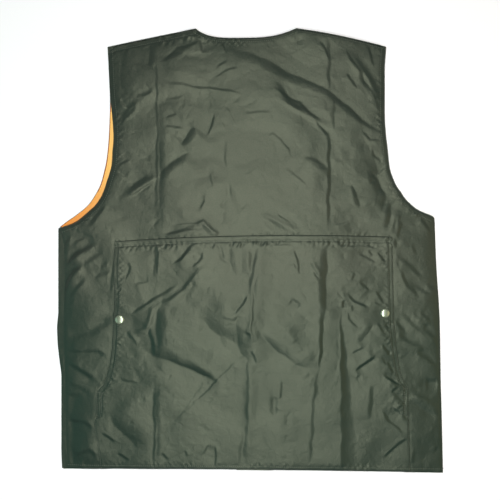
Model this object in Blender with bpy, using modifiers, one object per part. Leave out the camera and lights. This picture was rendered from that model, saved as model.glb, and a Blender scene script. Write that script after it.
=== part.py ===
"""Reversible hunting vest, laid flat with its back up and its fronts underneath.

The tables hold millimetres and the meshes metres.  +X is the wearer's right, +Y points to
the neck and +Z up from the surface that the vest lies on.  The origin is on that surface,
under the middle of the vest.
"""
import math
from collections import namedtuple

import bmesh
import bpy
import numpy as np

MM = 0.001

# Walls of cloth and the gap that sewn pieces keep
GAP = 0.3
BACK_WALL = 1.6
POUCH_WALL = 1.2
FRONT_WALL = 1.2
LINING_WALL = 1.0
HEM_FOLD = 0.7

# Snap caps
CAP_RADIUS = 7.65
CAP_HEIGHT = 2.4
CAP_HEIGHT_UNDER = 1.6
CAP_SIDES = 16
# From the top of the dome over the rolled rim to the middle of the flat side: shares of
# the cap's radius and height
CAP_PROFILE = ((0.0, 1.0), (0.42, 0.94), (0.74, 0.72), (0.88, 0.46), (1.0, 0.24),
               (0.96, 0.0), (0.0, 0.0))
POUCH_SNAPS = {"left": (-210.3, -111.5), "right": (217.9, -101.2)}
SNAP_SEAT_INNER = 26.0
SNAP_SEAT_OUTER = 42.0
FRONT_SNAP_TOP = 130.0
FRONT_SNAP_PITCH = 98.0
FRONT_SNAP_COUNT = 5

# Heights of the layers above the surface
FRONT_LIFT = CAP_HEIGHT_UNDER + GAP
OVERLAP_LIFT = FRONT_LIFT + FRONT_WALL + GAP
BACK_SEAT = FRONT_WALL + GAP
LOFT = 4.4
SNAP_LOFT = 3.4
PLACKET_CROWN = 3.6
PLACKET_FLAT = 36.0
PLACKET_FADE = 76.0
PLACKET_TOP = 240.0
PLACKET_TOP_FADE = 290.0

# Outline of the vest: x for each y, from the hem up
SIDE_LEFT = ((-352, -305), (-320, -306), (-205, -306), (-178, -309), (-150, -312),
             (-125, -313), (-98, -311), (36, -311))
SIDE_RIGHT = ((-360, 313), (-333, 312.5), (-268, 311), (-216, 309.5), (-125, 308),
              (-80, 306), (-60, 304.5), (-9, 301.5), (46, 299.5), (53, 299))
SIDE_SEAM_LEFT = ((-352, -296), (-300, -299), (-205, -300), (-120, -302.5), (-50, -301),
                  (0, -301.5), (20, -304.5), (36, -310.4))
ARMHOLE_BACK = ((36, -310.4), (46, -283.5), (56, -270.5), (66, -259), (75, -249.5),
                (85, -243), (95, -238), (114, -231.7), (124, -228.4), (138, -224.7),
                (163, -223), (182, -221.5), (202, -222.8), (221, -225.2), (250, -227),
                (290, -229), (330, -231))
ARMHOLE_FRONT = ((36, -311), (46, -298), (56, -283.5), (66, -270.5), (75, -261),
                 (85, -254), (95, -248), (104, -243.5), (114, -240), (124, -237.5),
                 (134, -235), (153, -231.7), (182, -229), (211, -227.6), (236, -227),
                 (290, -229), (330, -231))
ARMHOLE_RIGHT = ((53, 299), (56, 294.8), (66, 272), (75, 261), (85, 251), (95, 244.6),
                 (104, 238), (114, 233.3), (134, 226.8), (163, 223.6), (192, 220.3),
                 (221, 218.7), (289, 218.7), (330, 221))

# Shoulders and neck: the top edge
SHOULDER_TIP_LEFT = (-231.0, 330.0)
NECK_POINT_LEFT = (-88.0, 359.6)
NECK_POINT_RIGHT = (75.0, 360.0)
SHOULDER_TIP_RIGHT = (221.0, 330.0)
SHOULDER_BOW_LEFT = 0.6
SHOULDER_BOW_RIGHT = 2.2
NECK_DEPTH = 15.3
NECK_POWER_LEFT = 4.5
NECK_POWER_RIGHT = 2.5

# Edges of the rear pouch and the press creases, which run on up the back
POUCH_EDGE_LEFT = ((-354, -241.7), (-328, -244), (-278, -250.8), (-266, -247.2),
                   (-229, -247.2), (-220, -239), (-202, -231.2), (-181, -226.3),
                   (-153, -223.1), (-108, -221.1), (-77, -218.7), (-33, -221.1),
                   (15, -218.7), (95, -206), (182, -196), (330, -198))
CREASE_LEFT = ((-354, -153), (0, -149), (20, -151), (333, -151))
CREASE_CENTRE = ((-354, -4), (-276, -3), (-193, 0), (-90, 4), (9, 14), (120, 8), (345, 0))
CREASE_RIGHT = ((-356, 99), (-318, 100), (-236, 107), (-185, 113.4), (-80, 122),
                (2, 125), (346, 126))
FOLD_RIGHT = ((-356, 146), (-164, 146), (-103, 144), (-88, 147), (-66, 143), (0, 150),
              (346, 160))
POUCH_EDGE_RIGHT = ((-356, 258.7), (-266, 256.6), (-222, 257), (-208, 247.9),
                    (-181, 240.6), (-153, 236.5), (-113, 233.3), (-82, 232.6),
                    (-33, 231.3), (22, 230), (95, 214), (182, 196), (330, 192))
POUCH_HEM = 8.0
HEM_STEP = 1.0
POUCH_INSET = 1.5

# Closing edges of the fronts: straight up from the hem, then the V of the neck
PLACKET_HALF = 22.0
V_NECK_START = 150.0
V_NECK_TURN_UP = 22.0
V_NECK_TURN_OUT = 4.0
STRIP_WIDTH = 49.0
RAMP_WIDTH = 9.0
LIFT_TOP = 212.0
LIFT_END = 262.0

# Levels of the rows: y at the left edge, in the middle and at the right edge
Level = namedtuple("Level", "left middle right rows ease")
BACK_LEVELS = (
    Level(-353.5, -355, -360, 0, 1.0),
    Level(-266, -266, -266, 7, 1.0),
    Level(-228, -227, -222, 3, 1.0),
    Level(-0.5, 15, 9.5, 18, 1.0),
    Level(0.5, 16, 10.5, 1, 1.0),
    Level(8.4, 24.3, 18.8, 1, 1.0),
    Level(36, 45, 53, 2, 1.0),
    Level(95, 97, 100, 5, 1.8),
    Level(330, 352, 330, 18, 1.0),
)
POUCH_ROWS = sum(level.rows for level in BACK_LEVELS[:6])
BAND_ROWS = 1
UNDERARM_ROW = sum(level.rows for level in BACK_LEVELS[:7])
TOP_BLEND_START = 97.0

# Bays between the named lines of the back, and the columns in each
BAY_COLUMNS = (5, 1, 1, 5, 4, 6, 5, 3, 2, 5, 1, 1, 5)
POUCH_FIRST = BAY_COLUMNS[0]
POUCH_LAST = sum(BAY_COLUMNS) - BAY_COLUMNS[-1]

# Rows of the fronts: y on the outer edge and on the inner edge
FrontLevel = namedtuple("FrontLevel", "outer inner rows ease")
FRONT_LEVELS_LEFT = (FrontLevel(-353.5, -355, 0, 1.0), FrontLevel(36, 110, 12, 1.0),
                     FrontLevel(95, 160, 5, 1.8), FrontLevel(330, 359.6, 9, 1.0))
FRONT_LEVELS_RIGHT = (FrontLevel(-360, -355, 0, 1.0), FrontLevel(53, 110, 12, 1.0),
                      FrontLevel(100, 160, 5, 1.8), FrontLevel(330, 360.0, 9, 1.0))
FRONT_COLUMNS = 3
STRIP_COLUMNS = 2

# The side turn: wall at shares of the way from the fold to the seam, thin on the fold
TurnColumn = namedtuple("TurnColumn", "share wall")
SIDE_TURN = (TurnColumn(0.0, 0.8), TurnColumn(0.25, 1.4), TurnColumn(1.0, 1.6))
LINING_LEAST_WIDTH = 0.5

# How the cloth settles towards its edges: share of the loft kept there and its reach
EDGE_REACH = 24.0
HEM_REACH = 14.0
HEM_KEEP = 0.45
NECK_REACH = 18.0
NECK_KEEP = 0.15

# A fold keeps part of its height at its ends and swells to all of it over a share of its
# length
FOLD_END = 0.35
FOLD_TAPER = 0.25

# Largest folds: ends, sideways bow at the middle, half width and height, troughs negative
Fold = namedtuple("Fold", "x0 y0 x1 y1 bow width height")
FOLDS = (
    Fold(-151, 333, -151, 22, 0, 9, 2.9),
    Fold(126, 340, 126, 28, 2, 10, 3.1),
    Fold(-150, 0, -153, -350, 0, 9, 2.6),
    Fold(124, 0, 113, -186, 0, 11, -4.2),
    Fold(113, -186, 99, -350, 0, 12, 2.1),
    Fold(146, -70, 146, -352, 0, 8, 3.4),
    Fold(160, -80, 164, -352, 0, 12, -3.9),
    Fold(16, 8, 3, -164, 0, 9, 2.6),
    Fold(0, -190, -4, -350, 0, 9, 2.3),
    Fold(-16, 317, 219, 182, 10, 14, -4.4),
    Fold(0, 333, 210, 215, 12, 14, 3.4),
    Fold(42, 290, 130, 205, 6, 12, -3.1),
    Fold(162, 315, 212, 231, 6, 13, 5.2),
    Fold(181, 273, 211, 218, -4, 12, -5.2),
    Fold(180, 158, 225, 135, 4, 12, 3.1),
    Fold(-146, 273, -5, 252, 4, 14, -2.6),
    Fold(-209, 203, -178, 232, 0, 12, -3.4),
    Fold(-198, 88, -146, 118, -3, 12, 4.7),
    Fold(-196, 100, -148, 130, -3, 12, -3.4),
    Fold(-235, 78, -258, 33, 4, 12, -3.9),
    Fold(-112, 166, -84, 200, 0, 14, -3.4),
    Fold(-134, 130, -86, 160, 4, 14, -2.9),
    Fold(-31, 108, -20, 40, 0, 14, -3.4),
    Fold(-40, 245, -20, 160, -6, 13, -2.6),
    Fold(22, 170, 66, 140, 12, 12, -2.9),
    Fold(89, 151, 128, 128, 0, 14, -3.4),
    Fold(175, 121, 212, 96, 0, 14, -3.9),
    Fold(196, 104, 212, 50, 0, 14, -3.1),
    Fold(-89, 41, -50, 24, -4, 12, 3.4),
    Fold(20, 58, 78, 28, 0, 12, 2.9),
    Fold(272, 56, 297, 22, 0, 12, -3.6),
    Fold(-249, 12, -300, -22, -5, 13, -4.7),
    Fold(-225, -9, -298, -84, 6, 12, 4.4),
    Fold(-281, -34, -300, -74, 0, 11, -4.2),
    Fold(-298, -140, -226, -114, 4, 13, -2.9),
    Fold(-301, -158, -232, -170, 3, 11, -4.9),
    Fold(-298, -182, -249, -208, 0, 11, -4.4),
    Fold(-298, -268, -258, -279, 3, 11, -4.4),
    Fold(-292, -280, -287, -350, 0, 10, -4.4),
    Fold(-262, -326, -244, -334, 4, 12, -3.1),
    Fold(-100, 8, -116, -20, 0, 12, -3.4),
    Fold(-84, 4, -120, -58, 4, 13, 3.6),
    Fold(-29, -4, -24, -54, 0, 13, -3.9),
    Fold(-5, -70, -24, -104, 0, 12, -2.9),
    Fold(-108, -54, -196, -104, -4, 12, -5.2),
    Fold(-84, -40, -104, -86, 0, 12, -3.4),
    Fold(-75, -98, -29, -162, 0, 14, -3.4),
    Fold(16, -122, 104, -188, 4, 14, -3.9),
    Fold(-152, -158, -54, -220, 5, 13, -5.5),
    Fold(-150, -176, -70, -226, 5, 14, 3.4),
    Fold(156, -70, 198, -96, 0, 12, -3.6),
    Fold(206, -166, 170, -200, 0, 12, -4.2),
    Fold(150, -184, 200, -150, 0, 14, 2.6),
    Fold(234, 2, 285, -44, -4, 12, -3.6),
    Fold(246, -46, 300, -80, 0, 12, -3.1),
    Fold(234, -100, 304, -128, 0, 12, -3.6),
    Fold(232, -114, 302, -170, -4, 12, -3.9),
    Fold(270, -166, 305, -187, 0, 11, -4.7),
    Fold(232, -244, 306, -272, 3, 13, -3.4),
    Fold(218, -266, 250, -296, 3, 13, -3.1),
    Fold(250, -302, 216, -334, 0, 13, -2.9),
)


def smooth_through(table, at):
    """Value of a smooth curve through a table of places and values, with no overshoot."""
    places, values = (np.array(column, dtype=float) for column in zip(*table))
    spans = np.diff(places)
    rates = np.diff(values) / spans
    slopes = np.concatenate((rates[:1], np.zeros(len(rates) - 1), rates[-1:]))
    same_way = rates[:-1] * rates[1:] > 0
    both = np.where(same_way, rates[:-1] + rates[1:], 1.0)
    slopes[1:-1] = np.where(same_way, 2 * rates[:-1] * rates[1:] / both, 0.0)
    at = np.clip(at, places[0], places[-1])
    span = np.clip(np.searchsorted(places, at) - 1, 0, len(spans) - 1)
    t = (at - places[span]) / spans[span]
    start, end = values[span], values[span + 1]
    lead = slopes[span] * spans[span]
    tail = slopes[span + 1] * spans[span]
    return (start + t * lead + t**2 * (3 * (end - start) - 2 * lead - tail)
            + t**3 * (2 * (start - end) + lead + tail))


def ease(t):
    """Smooth step from 0 to 1."""
    t = np.clip(t, 0.0, 1.0)
    return t * t * (3 - 2 * t)


def level_rows(levels, column):
    """The y of every row on one named column of a table of levels."""
    values = [getattr(levels[0], column)]
    for below, level in zip(levels, levels[1:]):
        start, end = getattr(below, column), getattr(level, column)
        for row in range(1, level.rows + 1):
            values.append(start + (end - start) * (row / level.rows) ** level.ease)
    return np.array(values, dtype=float)


def shoulder(x, tip, neck_point, bow):
    """Height y of one shoulder seam, bowed up a little between its tip and the neck."""
    along = np.clip((x - tip[0]) / (neck_point[0] - tip[0]), 0.0, 1.0)
    return tip[1] + along * (neck_point[1] - tip[1]) + bow * 4 * along * (1 - along)


def top_edge(x):
    """Height y of the shoulders and the neck at each x."""
    left = shoulder(x, SHOULDER_TIP_LEFT, NECK_POINT_LEFT, SHOULDER_BOW_LEFT)
    right = shoulder(x, SHOULDER_TIP_RIGHT, NECK_POINT_RIGHT, SHOULDER_BOW_RIGHT)
    width = NECK_POINT_RIGHT[0] - NECK_POINT_LEFT[0]
    along = np.clip((x - NECK_POINT_LEFT[0]) / width, 0.0, 1.0)
    line = NECK_POINT_LEFT[1] + along * (NECK_POINT_RIGHT[1] - NECK_POINT_LEFT[1])
    power = np.where(along < 0.5, NECK_POWER_LEFT, NECK_POWER_RIGHT)
    scoop = line - NECK_DEPTH * (1 - np.abs(2 * along - 1) ** power)
    inside = (x > NECK_POINT_LEFT[0]) & (x < NECK_POINT_RIGHT[0])
    return np.where(inside, scoop, np.where(x < 0, left, right))


def back_edge_left(rows_y):
    """The back's left edge: the side seam up to the underarm, then the armhole."""
    side = smooth_through(SIDE_SEAM_LEFT, rows_y)
    armhole = smooth_through(ARMHOLE_BACK, rows_y)
    return np.where(rows_y < SIDE_SEAM_LEFT[-1][0], side, armhole)


def outline_right(rows_y):
    """The vest's right edge: the side up to the underarm, then the armhole."""
    side = smooth_through(SIDE_RIGHT, rows_y)
    armhole = smooth_through(ARMHOLE_RIGHT, rows_y)
    return np.where(rows_y < SIDE_RIGHT[-1][0], side, armhole)


def outline_left(rows_y):
    """The vest's left edge: the fold of the side, then the front's armhole."""
    side = smooth_through(SIDE_LEFT, rows_y)
    armhole = smooth_through(ARMHOLE_FRONT, rows_y)
    return np.where(rows_y < SIDE_LEFT[-1][0], side, armhole)


def back_plan():
    """Plan of the back as arrays of x and y, a row for each level."""
    left_y = level_rows(BACK_LEVELS, "left")
    middle_y = level_rows(BACK_LEVELS, "middle")
    right_y = level_rows(BACK_LEVELS, "right")
    left_x, right_x = back_edge_left(left_y), outline_right(right_y)
    pouch_left = smooth_through(POUCH_EDGE_LEFT, middle_y)
    pouch_right = smooth_through(POUCH_EDGE_RIGHT, middle_y)
    lines = [left_x, pouch_left, pouch_left + POUCH_HEM, pouch_left + POUCH_HEM + HEM_STEP,
             smooth_through(CREASE_LEFT, middle_y), np.full_like(left_x, NECK_POINT_LEFT[0]),
             smooth_through(CREASE_CENTRE, middle_y),
             np.full_like(left_x, NECK_POINT_RIGHT[0]),
             smooth_through(CREASE_RIGHT, middle_y), smooth_through(FOLD_RIGHT, middle_y),
             pouch_right - POUCH_HEM - HEM_STEP, pouch_right - POUCH_HEM, pouch_right,
             right_x]
    columns = [left_x]
    for start, end, count in zip(lines, lines[1:], BAY_COLUMNS):
        columns += [start + (end - start) * step / count for step in range(1, count + 1)]
    x = np.stack(columns, axis=1)
    # A parabola through the three heights of a row carries it across the panel
    slope_left = (left_y - middle_y) / left_x
    slope_right = (right_y - middle_y) / right_x
    bend = ((slope_right - slope_left) / (right_x - left_x))[:, None]
    tilt = slope_left[:, None] - bend * left_x[:, None]
    y = middle_y[:, None] + tilt * x + bend * x**2
    share = ease((middle_y - TOP_BLEND_START) / (middle_y[-1] - TOP_BLEND_START))[:, None]
    y = y + share * (top_edge(x[-1]) - y[-1])[None, :]
    return x, y


def fold_relief(x, y):
    """Sum of the folds, each a soft ridge or trough with tapered ends."""
    relief = np.zeros_like(x)
    for fold in FOLDS:
        run_x, run_y = fold.x1 - fold.x0, fold.y1 - fold.y0
        length = math.hypot(run_x, run_y)
        along = ((x - fold.x0) * run_x + (y - fold.y0) * run_y) / length**2
        aside = ((y - fold.y0) * run_x - (x - fold.x0) * run_y) / length
        inside = np.clip(along, 0.0, 1.0)
        aside = aside - fold.bow * 4 * inside * (1 - inside)
        past = (along - inside) * length
        taper = FOLD_END + (1 - FOLD_END) * ease(np.minimum(inside, 1 - inside) / FOLD_TAPER)
        relief += fold.height * taper * np.exp(-(aside**2 + past**2) / fold.width**2)
    return relief


def back_underside(x, y):
    """Height of the back's underside: loft and folds, settled towards the edges."""
    from_left = x - x[:, :1]
    from_right = x[:, -1:] - x
    from_hem = y - y[:1]
    from_top = y[-1:] - y
    rise = 1 - np.exp(-from_left / EDGE_REACH)
    rise *= 1 - np.exp(-from_right / EDGE_REACH)
    rise *= 1 - (1 - HEM_KEEP) * np.exp(-from_hem / HEM_REACH)
    rise *= 1 - (1 - NECK_KEEP) * np.exp(-from_top / NECK_REACH)
    lying = rise * np.maximum(LOFT + fold_relief(x, y), 0.0)
    crown = PLACKET_CROWN * ease((PLACKET_FADE - np.abs(x)) / (PLACKET_FADE - PLACKET_FLAT))
    crown *= ease((PLACKET_TOP_FADE - y) / (PLACKET_TOP_FADE - PLACKET_TOP))
    height = np.maximum(lying, crown)
    for snap_x, snap_y in POUCH_SNAPS.values():
        away = np.hypot(x - snap_x, y - snap_y)
        flat = ease((SNAP_SEAT_OUTER - away) / (SNAP_SEAT_OUTER - SNAP_SEAT_INNER))
        height += flat * (SNAP_LOFT - height)
    return BACK_SEAT + height


def cut_along_folds(bm, place, heights):
    """Cut each square of the grid between the two corners that lie nearest in height."""
    flat = heights.ravel()
    for face in bm.faces[:]:
        a, b, c, d = face.verts
        rise_ac = abs(flat[a[place]] - flat[c[place]])
        rise_bd = abs(flat[b[place]] - flat[d[place]])
        start, end = (a, c) if rise_ac <= rise_bd else (b, d)
        bmesh.utils.face_split(face, start, end)


def cloth_wall(name, upper, lower, material, collection, guide=None):
    """Closed wall of cloth between two equal grids of points, the upper one on top.

    A piece that lies on another takes that one's heights as its guide, so both are cut the
    same way and keep their gap.
    """
    rows, columns = upper.shape[:2]
    mesh = bpy.data.meshes.new(name)
    bm = bmesh.new()
    bmesh.ops.create_grid(bm, x_segments=columns - 1, y_segments=rows - 1, size=1.0)
    place = bm.verts.layers.int.new("place")
    low = min(vert.co.x for vert in bm.verts)
    high = max(vert.co.x for vert in bm.verts)
    for vert in bm.verts:
        column = round((vert.co.x - low) / (high - low) * (columns - 1))
        row = round((vert.co.y - low) / (high - low) * (rows - 1))
        vert[place] = row * columns + column
    cut_along_folds(bm, place, upper[:, :, 2] if guide is None else guide)
    result = bmesh.ops.extrude_face_region(bm, geom=bm.faces[:])
    extruded = {item for item in result["geom"] if isinstance(item, bmesh.types.BMVert)}
    for vert in bm.verts:
        grid = lower if vert in extruded else upper
        row, column = divmod(vert[place], columns)
        vert.co = [float(value) * MM for value in grid[row, column]]
    bmesh.ops.triangulate(bm, faces=bm.faces[:])
    bmesh.ops.recalc_face_normals(bm, faces=bm.faces[:])
    bm.verts.layers.int.remove(place)
    bm.to_mesh(mesh)
    bm.free()
    mesh.materials.append(material)
    collection.objects.link(bpy.data.objects.new(name, mesh))


def layer(x, y, z):
    """One grid of points from arrays of x, y and z."""
    return np.stack((x, y, np.broadcast_to(z, x.shape)), axis=2)


def build_back(plan, material, collection):
    """Back panel with its folds."""
    x, y = plan
    under = back_underside(x, y)
    cloth_wall("back", layer(x, y, under + BACK_WALL), layer(x, y, under), material,
               collection)
    return under + BACK_WALL


def build_pouch(plan, back_top, material, collection):
    """Rear pouch, made from the back's points moved out, with a turned band and edges."""
    rows = slice(0, POUCH_ROWS + 1)
    columns = slice(POUCH_FIRST, POUCH_LAST + 1)
    x, y = plan[0][rows, columns], plan[1][rows, columns].copy()
    # The lower edge stops just short of the vest's hem
    y[0] += POUCH_INSET
    under = back_top[rows, columns] + GAP
    thick = np.full_like(x, POUCH_WALL)
    thick[:, :2] += HEM_FOLD
    thick[:, -2:] += HEM_FOLD
    thick[-1 - BAND_ROWS:, 2:-2] += HEM_FOLD
    cloth_wall("pouch", layer(x, y, under + thick), layer(x, y, under), material, collection,
               guide=back_top[rows, columns])
    return under + thick


def front_plan(levels, outer_edge, mirror):
    """Plan of a front: outer edge, evenly spaced columns, ramp and closing strip."""
    outer_y = level_rows(levels, "outer")
    inner_y = level_rows(levels, "inner")
    outer_x = outer_edge(outer_y)
    neck_x = NECK_POINT_RIGHT[0] if mirror else -NECK_POINT_LEFT[0]
    table = ((levels[0].inner, -PLACKET_HALF), (V_NECK_START, -PLACKET_HALF),
             (V_NECK_START + V_NECK_TURN_UP, V_NECK_TURN_OUT - PLACKET_HALF),
             (levels[-1].inner, neck_x))
    inner_x = smooth_through(table, inner_y) * (1 if mirror else -1)
    way = 1 if mirror else -1
    strip_x = inner_x + way * STRIP_WIDTH
    ramp_x = strip_x + way * RAMP_WIDTH
    lines = [outer_x, ramp_x, strip_x, inner_x]
    columns = [outer_x]
    for start, end, count in zip(lines, lines[1:], (FRONT_COLUMNS, 1, STRIP_COLUMNS)):
        columns += [start + (end - start) * step / count for step in range(1, count + 1)]
    x = np.stack(columns, axis=1)
    share = (x - outer_x[:, None]) / (inner_x - outer_x)[:, None]
    y = outer_y[:, None] + share * (inner_y - outer_y)[:, None]
    return x, y


def build_front(name, levels, outer_edge, mirror, lift, material, collection):
    """One front, flat on the surface but for the strip that closes over its neighbour."""
    x, y = front_plan(levels, outer_edge, mirror)
    lifted = np.zeros_like(x)
    fade = ease((LIFT_END - y[:, -1]) / (LIFT_END - LIFT_TOP))
    lifted[:, -1 - STRIP_COLUMNS:] = lift * fade[:, None]
    cloth_wall(name, layer(x, y, lifted + FRONT_WALL), layer(x, y, lifted), material,
               collection)


def build_side_turn(plan, material, collection):
    """Strip of the left front that turns round the side fold to the seam on the back."""
    rows = slice(0, UNDERARM_ROW + 1)
    seam_x = plan[0][rows, 0] - GAP
    y = plan[1][rows, 0]
    fold_x = smooth_through(SIDE_LEFT, y)
    shares = np.array([column.share for column in SIDE_TURN])
    x = fold_x[:, None] + (seam_x - fold_x)[:, None] * shares[None, :]
    across = np.broadcast_to(y[:, None], x.shape)
    height = np.array([column.wall for column in SIDE_TURN]) + BACK_SEAT
    cloth_wall("front_left_turn", layer(x, across, height[None, :]),
               layer(x, across, BACK_SEAT), material, collection)


def build_lining(plan, material, collection):
    """Lining of the left front where it shows beyond the back's armhole edge."""
    edge_x, y = plan[0][UNDERARM_ROW:, 0] - GAP, plan[1][UNDERARM_ROW:, 0]
    outer_x = smooth_through(ARMHOLE_FRONT, y)
    shown = edge_x - outer_x > LINING_LEAST_WIDTH
    rows = slice(int(np.argmax(shown)), int(np.argmax(shown)) + int(shown.sum()))
    edge_x, outer_x, y = edge_x[rows], outer_x[rows], y[rows]
    shares = np.array((0.0, 0.5, 1.0))
    x = outer_x[:, None] + (edge_x - outer_x)[:, None] * shares[None, :]
    across = np.broadcast_to(y[:, None], x.shape)
    cloth_wall("lining_front_left", layer(x, across, BACK_SEAT + LINING_WALL),
               layer(x, across, BACK_SEAT), material, collection)


def build_snap(name, x, y, z, height, under, material, collection):
    """Domed snap cap with a rolled rim, turned from its profile."""
    mesh = bpy.data.meshes.new(name)
    bm = bmesh.new()
    points = [bm.verts.new((across * CAP_RADIUS * MM, 0.0, up * height * MM))
              for across, up in CAP_PROFILE]
    for start, end in zip(points, points[1:]):
        bm.edges.new((start, end))
    bm.to_mesh(mesh)
    bm.free()
    mesh.materials.append(material)
    piece = bpy.data.objects.new(name, mesh)
    collection.objects.link(piece)
    piece.location = (x * MM, y * MM, z * MM)
    if under:
        piece.rotation_euler = (math.pi, 0.0, 0.0)
    turned = piece.modifiers.new("turned", "SCREW")
    turned.angle = math.tau
    turned.steps = CAP_SIDES
    turned.render_steps = CAP_SIDES
    turned.use_merge_vertices = True
    turned.merge_threshold = 0.00001
    turned.use_smooth_shade = True


def finish(name, colour, roughness, metallic):
    """Plain material of one colour."""
    material = bpy.data.materials.new(name)
    material.use_nodes = True
    shader = material.node_tree.nodes["Principled BSDF"]
    shader.inputs["Base Color"].default_value = (*colour, 1.0)
    shader.inputs["Roughness"].default_value = roughness
    shader.inputs["Metallic"].default_value = metallic
    return material


def main():
    for item in list(bpy.data.objects):
        bpy.data.objects.remove(item)
    vest = bpy.data.collections.new("hunting_vest")
    bpy.context.scene.collection.children.link(vest)
    olive = finish("olive_nylon", (0.085, 0.105, 0.07), 0.42, 0.0)
    orange = finish("orange_nylon", (0.9, 0.36, 0.06), 0.5, 0.0)
    nickel = finish("nickel", (0.62, 0.6, 0.54), 0.3, 1.0)

    plan = back_plan()
    back_top = build_back(plan, olive, vest)
    pouch_top = build_pouch(plan, back_top, olive, vest)
    build_side_turn(plan, olive, vest)
    build_lining(plan, orange, vest)
    build_front("front_left", FRONT_LEVELS_LEFT, outline_left, False, FRONT_LIFT, olive, vest)
    build_front("front_right", FRONT_LEVELS_RIGHT, outline_right, True, OVERLAP_LIFT, olive,
                vest)

    pouch_x = plan[0][:POUCH_ROWS + 1, POUCH_FIRST:POUCH_LAST + 1]
    pouch_y = plan[1][:POUCH_ROWS + 1, POUCH_FIRST:POUCH_LAST + 1]
    for side, (x, y) in POUCH_SNAPS.items():
        near = np.hypot(pouch_x - x, pouch_y - y) < SNAP_SEAT_INNER
        seat = float(pouch_top[near].max()) + GAP
        build_snap("snap_pouch_" + side, x, y, seat, CAP_HEIGHT, False, nickel, vest)
    for number in range(FRONT_SNAP_COUNT):
        y = FRONT_SNAP_TOP - number * FRONT_SNAP_PITCH
        build_snap(f"snap_front_{number + 1}", 0.0, y, CAP_HEIGHT_UNDER, CAP_HEIGHT_UNDER,
                   True, nickel, vest)


main()
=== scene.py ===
"""Reversible hunting vest, laid flat with its back up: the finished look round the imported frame.

Tables hold millimetres and meshes metres.  +X is the wearer's right, +Y points to the neck
and +Z up from the surface that the vest lies on.
"""
import math
from functools import partial

import bmesh
import bpy
import numpy as np
from mathutils import Matrix, Vector


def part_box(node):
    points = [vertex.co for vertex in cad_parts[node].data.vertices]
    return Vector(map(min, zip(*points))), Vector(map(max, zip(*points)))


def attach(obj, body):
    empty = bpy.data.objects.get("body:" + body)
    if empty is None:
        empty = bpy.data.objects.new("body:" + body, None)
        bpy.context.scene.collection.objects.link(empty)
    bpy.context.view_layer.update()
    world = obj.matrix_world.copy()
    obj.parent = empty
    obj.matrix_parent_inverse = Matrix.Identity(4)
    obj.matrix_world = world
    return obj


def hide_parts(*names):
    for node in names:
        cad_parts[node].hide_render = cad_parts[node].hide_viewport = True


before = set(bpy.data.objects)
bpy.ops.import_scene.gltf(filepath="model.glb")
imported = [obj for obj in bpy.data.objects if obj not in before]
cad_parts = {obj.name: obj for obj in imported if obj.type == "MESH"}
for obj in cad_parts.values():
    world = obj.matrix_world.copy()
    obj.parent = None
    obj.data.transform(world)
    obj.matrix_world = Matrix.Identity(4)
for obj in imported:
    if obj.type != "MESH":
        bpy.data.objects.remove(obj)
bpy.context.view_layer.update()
MM = 0.001

# Walls, gaps and heights of the layers
GAP = 0.3
BACK_WALL = 1.6
POUCH_WALL = 1.2
FRONT_WALL = 1.2
BACK_SEAT = FRONT_WALL + GAP
FRONT_LIFT = 1.9
OVERLAP_LIFT = 3.4
LOFT = 4.4
SNAP_LOFT = 3.4
PLACKET_CROWN = 3.6
PLACKET_FLAT = 36.0
PLACKET_FADE = 76.0
PLACKET_TOP = 240.0
PLACKET_TOP_FADE = 290.0

# Snap caps
CAP_RADIUS = 7.65
POUCH_SNAPS = {"left": (-210.3, -111.5), "right": (217.9, -101.2)}
SNAP_SEAT_INNER = 5.0
SNAP_SEAT_FADE = 13.0
FRONT_SNAP_COUNT = 5
# Shares of the radius and of the height, from the middle of the top to its foot
CAP_PROFILE = ((0.0, 1.0), (0.16, 0.992), (0.32, 0.965), (0.47, 0.92), (0.6, 0.855),
               (0.7, 0.79), (0.79, 0.70), (0.87, 0.59), (0.93, 0.47), (0.97, 0.34),
               (0.995, 0.2), (1.0, 0.12), (0.985, 0.04), (0.96, 0.0), (0.5, 0.0), (0.0, 0.0))

# Outline of the vest: x for each y, from the hem up
SIDE_LEFT = ((-352, -305), (-320, -306), (-205, -306), (-178, -309), (-150, -312),
             (-125, -313), (-98, -311), (36, -311))
SIDE_RIGHT = ((-360, 313), (-333, 312.5), (-268, 311), (-216, 309.5), (-125, 308),
              (-80, 306), (-60, 304.5), (-9, 301.5), (46, 299.5), (53, 299))
SIDE_SEAM_LEFT = ((-352, -296), (-300, -299), (-205, -300), (-120, -302.5), (-50, -301),
                  (0, -301.5), (20, -304.5), (36, -310.4))
ARMHOLE_BACK = ((36, -310.4), (46, -283.5), (56, -270.5), (66, -259), (75, -249.5),
                (85, -243), (95, -238), (114, -231.7), (124, -228.4), (138, -224.7),
                (163, -223), (182, -221.5), (202, -222.4), (221, -224), (236, -225.5),
                (250, -227), (290, -229), (330, -231))
ARMHOLE_FRONT = ((36, -311), (46, -298), (56, -283.5), (66, -270.5), (75, -261),
                 (85, -254), (95, -248), (104, -243.5), (114, -240), (124, -237.5),
                 (134, -235), (153, -231.7), (182, -229), (211, -227.6), (236, -227),
                 (290, -229), (330, -231))
ARMHOLE_RIGHT = ((53, 299), (56, 294.8), (66, 272), (75, 261), (85, 251), (95, 244.6),
                 (104, 238), (114, 233.3), (134, 226.8), (163, 223.6), (192, 220.3),
                 (221, 218.7), (289, 218.7), (330, 221))

# Shoulders and neck: the top edge
SHOULDER_TIP_LEFT = (-231.0, 330.0)
NECK_POINT_LEFT = (-88.0, 359.6)
NECK_POINT_RIGHT = (75.0, 360.0)
SHOULDER_TIP_RIGHT = (221.0, 330.0)
SHOULDER_BOW_LEFT = 0.6
SHOULDER_BOW_RIGHT = 2.2
NECK_DEPTH = 15.3
NECK_POWER_LEFT = 4.5
NECK_POWER_RIGHT = 2.5

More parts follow.
